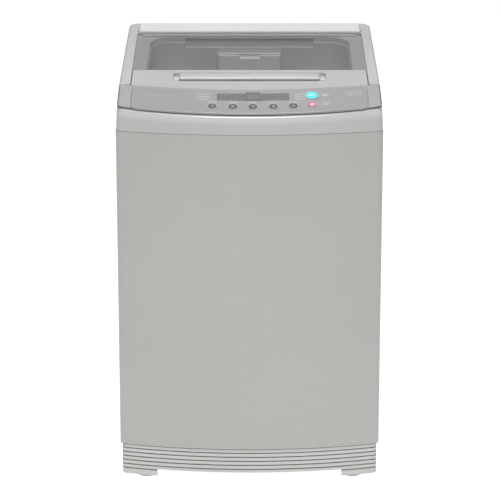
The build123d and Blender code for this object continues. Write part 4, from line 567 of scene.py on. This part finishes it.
def caption(x, s, width, height=1.7, gap=0.7):
    """A row of small blocks that stands for a word: widths are drawn from a seeded generator."""
    parts = []
    at = x - width / 2
    while at < x + width / 2 - 1:
        step = random.uniform(1.1, 2.3)
        parts.append(dash(at, min(at + step, x + width / 2), s - height / 2, s + height / 2))
        at += step + gap
    return parts


marks = []
for x in SMALL_X:
    marks += caption(x, SMALL_S + 15.5, 17.0)
for row in ROWS:
    marks += caption(-92.0, row, 20.0)
    marks += caption(101.0, row, 15.0)
marks += caption(153.5, 64.5, 14.0) + caption(152.5, 60.0, 10.0)
marks += caption(154.5, 33.0, 15.0) + caption(152.0, 28.5, 10.0)
verts, faces = joined(marks)
piece("panel_captions", verts, faces, MARK_LIGHT, "housing", smooth=False)

FRAME_LINE = 0.6
frames = box_outline(-106.0, -78.5, 47.5, 76.0, FRAME_LINE)
frames += box_outline(91.5, 110.5, 47.5, 76.0, FRAME_LINE)
frames += box_outline(196.0, 226.0, 53.0, 72.0, 0.7)
for row in range(3):
    frames += caption(211.0, 57.5 + row * 5.0, 22.0, 1.4)
frames += [dash(-214.0, -150.0, 60.2, 60.7), dash(-214.0, -178.0, 56.0, 56.4)]
verts, faces = joined(frames)
piece("panel_frames", verts, faces, MARK_FAINT, "housing", smooth=False)

ICON_PITCH = 9.6
ICON_WIDTH = 5.4
lens = []
for x in (*np.arange(-60.0, -12.0, ICON_PITCH), *np.arange(28.0, 74.0, ICON_PITCH)):
    lens += box_outline(x, x + ICON_WIDTH, 66.0, 70.6, FRAME_LINE, LENS_LIFT)
    lens.append(dash(x, x + ICON_WIDTH, 54.0, 55.4, LENS_LIFT))
verts, faces = joined(lens)
piece("display_icons", verts, faces, MARK_DISPLAY, "housing", smooth=False)


def digit_bars(x, s, width, height, line):
    """The seven bars of one figure eight."""
    half = height / 2
    bars = [dash(x, x + width, s + k * half - line / 2, s + k * half + line / 2, DIGIT_LIFT)
            for k in range(3)]
    for k in range(2):
        for at in (x, x + width - line):
            bars.append(dash(at, at + line, s + k * half + line, s + (k + 1) * half - line, DIGIT_LIFT))
    return bars


digits = []
for x in (-2.5, 8.5):
    digits += digit_bars(x, 55.0, 7.0, 15.0, 1.3)
verts, faces = joined(digits)
piece("display_digits", verts, faces, MARK_DISPLAY, "housing", smooth=False)


# ---- fascia border ----
BEAD_R = 0.8 * MM


def border():
    """Raised bead round the fascia: a half-round section carried along the fascia's outline, which runs
    along the lower bow, round the corners and up both sides."""
    half_w, s0, s1, corner = 237.6, 3.9, 84.0, 11.0
    bend = np.linspace(-pi / 2, 0, 8)
    right = np.stack([half_w - corner + corner * np.cos(bend), s0 + corner + corner * np.sin(bend)], -1)
    side = np.stack([np.full(8, half_w), np.linspace(s0 + corner, s1, 9)[1:]], -1)
    along = np.stack([np.linspace(0, half_w - corner, 24)[:-1], np.full(23, s0)], -1)
    right = np.concatenate([along, right, side])
    left = right[::-1] * np.array([-1, 1])
    path = np.concatenate([left[:-1], right])
    line = console_points(path[:, 0] * MM, path[:, 1] * MM, 0.0)
    return swept_tube(line, BEAD_R, 8)


verts, faces = border()
piece("fascia_bead", verts, faces, FINISHES["bezel_metal"], "housing")

# ---- button marks ----
CAP_TOP = 0.9 * MM


def glyph(name, body, parts, material):
    """Puts a mark on one button cap."""
    verts, faces = joined(parts)
    piece(name, verts, faces, material, body, smooth=False)


def cap_lift(radius):
    """Height of a mark over a dished cap."""
    return CAP_TOP + 0.12 * MM + radius * 0.012 * MM


top = cap_lift(5.0)


def clock_sign(x):
    """A ring with two hands."""
    return [ring(x, SMALL_S, 2.9, 3.6, lift=top), dash(x - 0.35, x + 0.35, SMALL_S, SMALL_S + 2.4, top),
            dash(x, x + 1.9, SMALL_S - 0.35, SMALL_S + 0.35, top)]


def knob_sign(x):
    """A ring with a pointer."""
    return [ring(x, SMALL_S, 3.0, 3.7, lift=top), dash(x - 0.4, x + 0.4, SMALL_S, SMALL_S + 2.2, top)]


def level_sign(x):
    """Three level lines."""
    return [dash(x - 3.2, x + 3.2, SMALL_S + k * 2.0 - 0.4, SMALL_S + k * 2.0 + 0.4, top) for k in (-1, 0, 1)]


def turn_sign(x):
    """An open ring with an arrowhead."""
    return [ring(x, SMALL_S, 2.6, 3.4, 200, 520, top), wedge(x + 3.0, SMALL_S - 1.2, 2.0, top)]


def spin_sign(x):
    """Two arcs round a dot."""
    return [ring(x, SMALL_S, 2.9, 3.6, 20, 160, top), ring(x, SMALL_S, 2.9, 3.6, 200, 340, top),
            ring(x, SMALL_S, 0.3, 1.2, lift=top)]


SIGNS = {
    "program": knob_sign, "level": level_sign, "rinse": turn_sign, "spin": spin_sign, "delay": clock_sign,
}
for x, (body, sign) in zip(SMALL_X, SIGNS.items()):
    glyph(body + "_sign", body + "_button_cap", sign(x), MARK_LIGHT)

top = cap_lift(7.0)
play = wedge(START_X - 2.8, START_S, 6.4, top)
pause = [dash(START_X + near, START_X + near + 1.4, START_S - 3.2, START_S + 3.2, top) for near in (2.2, 4.8)]
glyph("start_sign", "start_button_cap", [play, *pause], MARK_GLOW)
arc = ring(POWER_X, POWER_S, 2.8, 3.8, 120, 420, top)
stroke = dash(POWER_X - 0.5, POWER_X + 0.5, POWER_S + 0.4, POWER_S + 4.4, top)
glyph("power_sign", "power_button_cap", [arc, stroke], MARK_GLOW)
rim = ring(POWER_X, POWER_S, 6.4, 8.2, lift=top, sides=48)
glyph("power_rim", "power_button_cap", [rim], MARK_PINK)

# ---- floor, light and camera ----
FLOOR_HALF = 30.0
FLOOR_DROP = 0.0005
edge = np.linspace(-FLOOR_HALF, FLOOR_HALF, 3)
grid = np.stack([*np.meshgrid(edge, edge, indexing="xy"), np.zeros((3, 3))], -1)
verts, faces = surface(grid)
studio = finish("studio_floor", (0.55, 0.55, 0.55), (0.6, 0.7), blotch=0.004, fleck=0.0, rim_wear_and_highlight=0, glow=1.72,
                grain_depth=0.0)
floor = piece("studio_floor", verts + np.array([0, 0, CAD_BOX[0].z - FLOOR_DROP]), faces, studio)

scene = bpy.context.scene
scene.view_settings.view_transform = "Standard"
world = bpy.data.worlds.new("studio")
world.use_nodes = True
sky = world.node_tree
toward = add(sky, "ShaderNodeTexCoord").outputs["Generated"]
aside = add(sky, "ShaderNodeMath", {0: add(sky, "ShaderNodeSeparateXYZ", {"Vector": toward}).outputs[0]},
            operation="ABSOLUTE").outputs[0]
sky.links.new(span(sky, aside, 0.12, 0.85, 0.46, 0.12), sky.nodes["Background"].inputs[1])
scene.world = world


def softbox(name, place, aim, size, watts):
    """A large soft area light at place, turned towards aim."""
    light = bpy.data.lights.new(name, "AREA")
    light.shape = "RECTANGLE"
    light.size, light.size_y = size
    light.energy = watts
    lamp = bpy.data.objects.new(name, light)
    lamp.location = place
    dx, dy, dz = (a - p for a, p in zip(aim, place))
    lamp.rotation_euler = (atan2((dx * dx + dy * dy) ** 0.5, -dz), 0, atan2(-dx, dy))
    scene.collection.objects.link(lamp)


softbox("front_box", (0, -3.3, 3.9), (0, 0, 0.7), (2.0, 2.0), 130)
softbox("top_box", (0, 0.5, 3.4), (0, 0, 0), (3.6, 3.6), 88)

CAMERA_DOWN = 16.27
camera_data = bpy.data.cameras.new("camera")
camera_data.lens = 176.22
camera_data.sensor_width = 36.0
camera_data.shift_x = 0.001
camera_data.clip_end = 200
camera = bpy.data.objects.new("camera", camera_data)
camera.location = (0, -5.0426, 1.9026)
camera.rotation_euler = (radians(90 - CAMERA_DOWN), 0, 0)
scene.collection.objects.link(camera)
scene.camera = camera
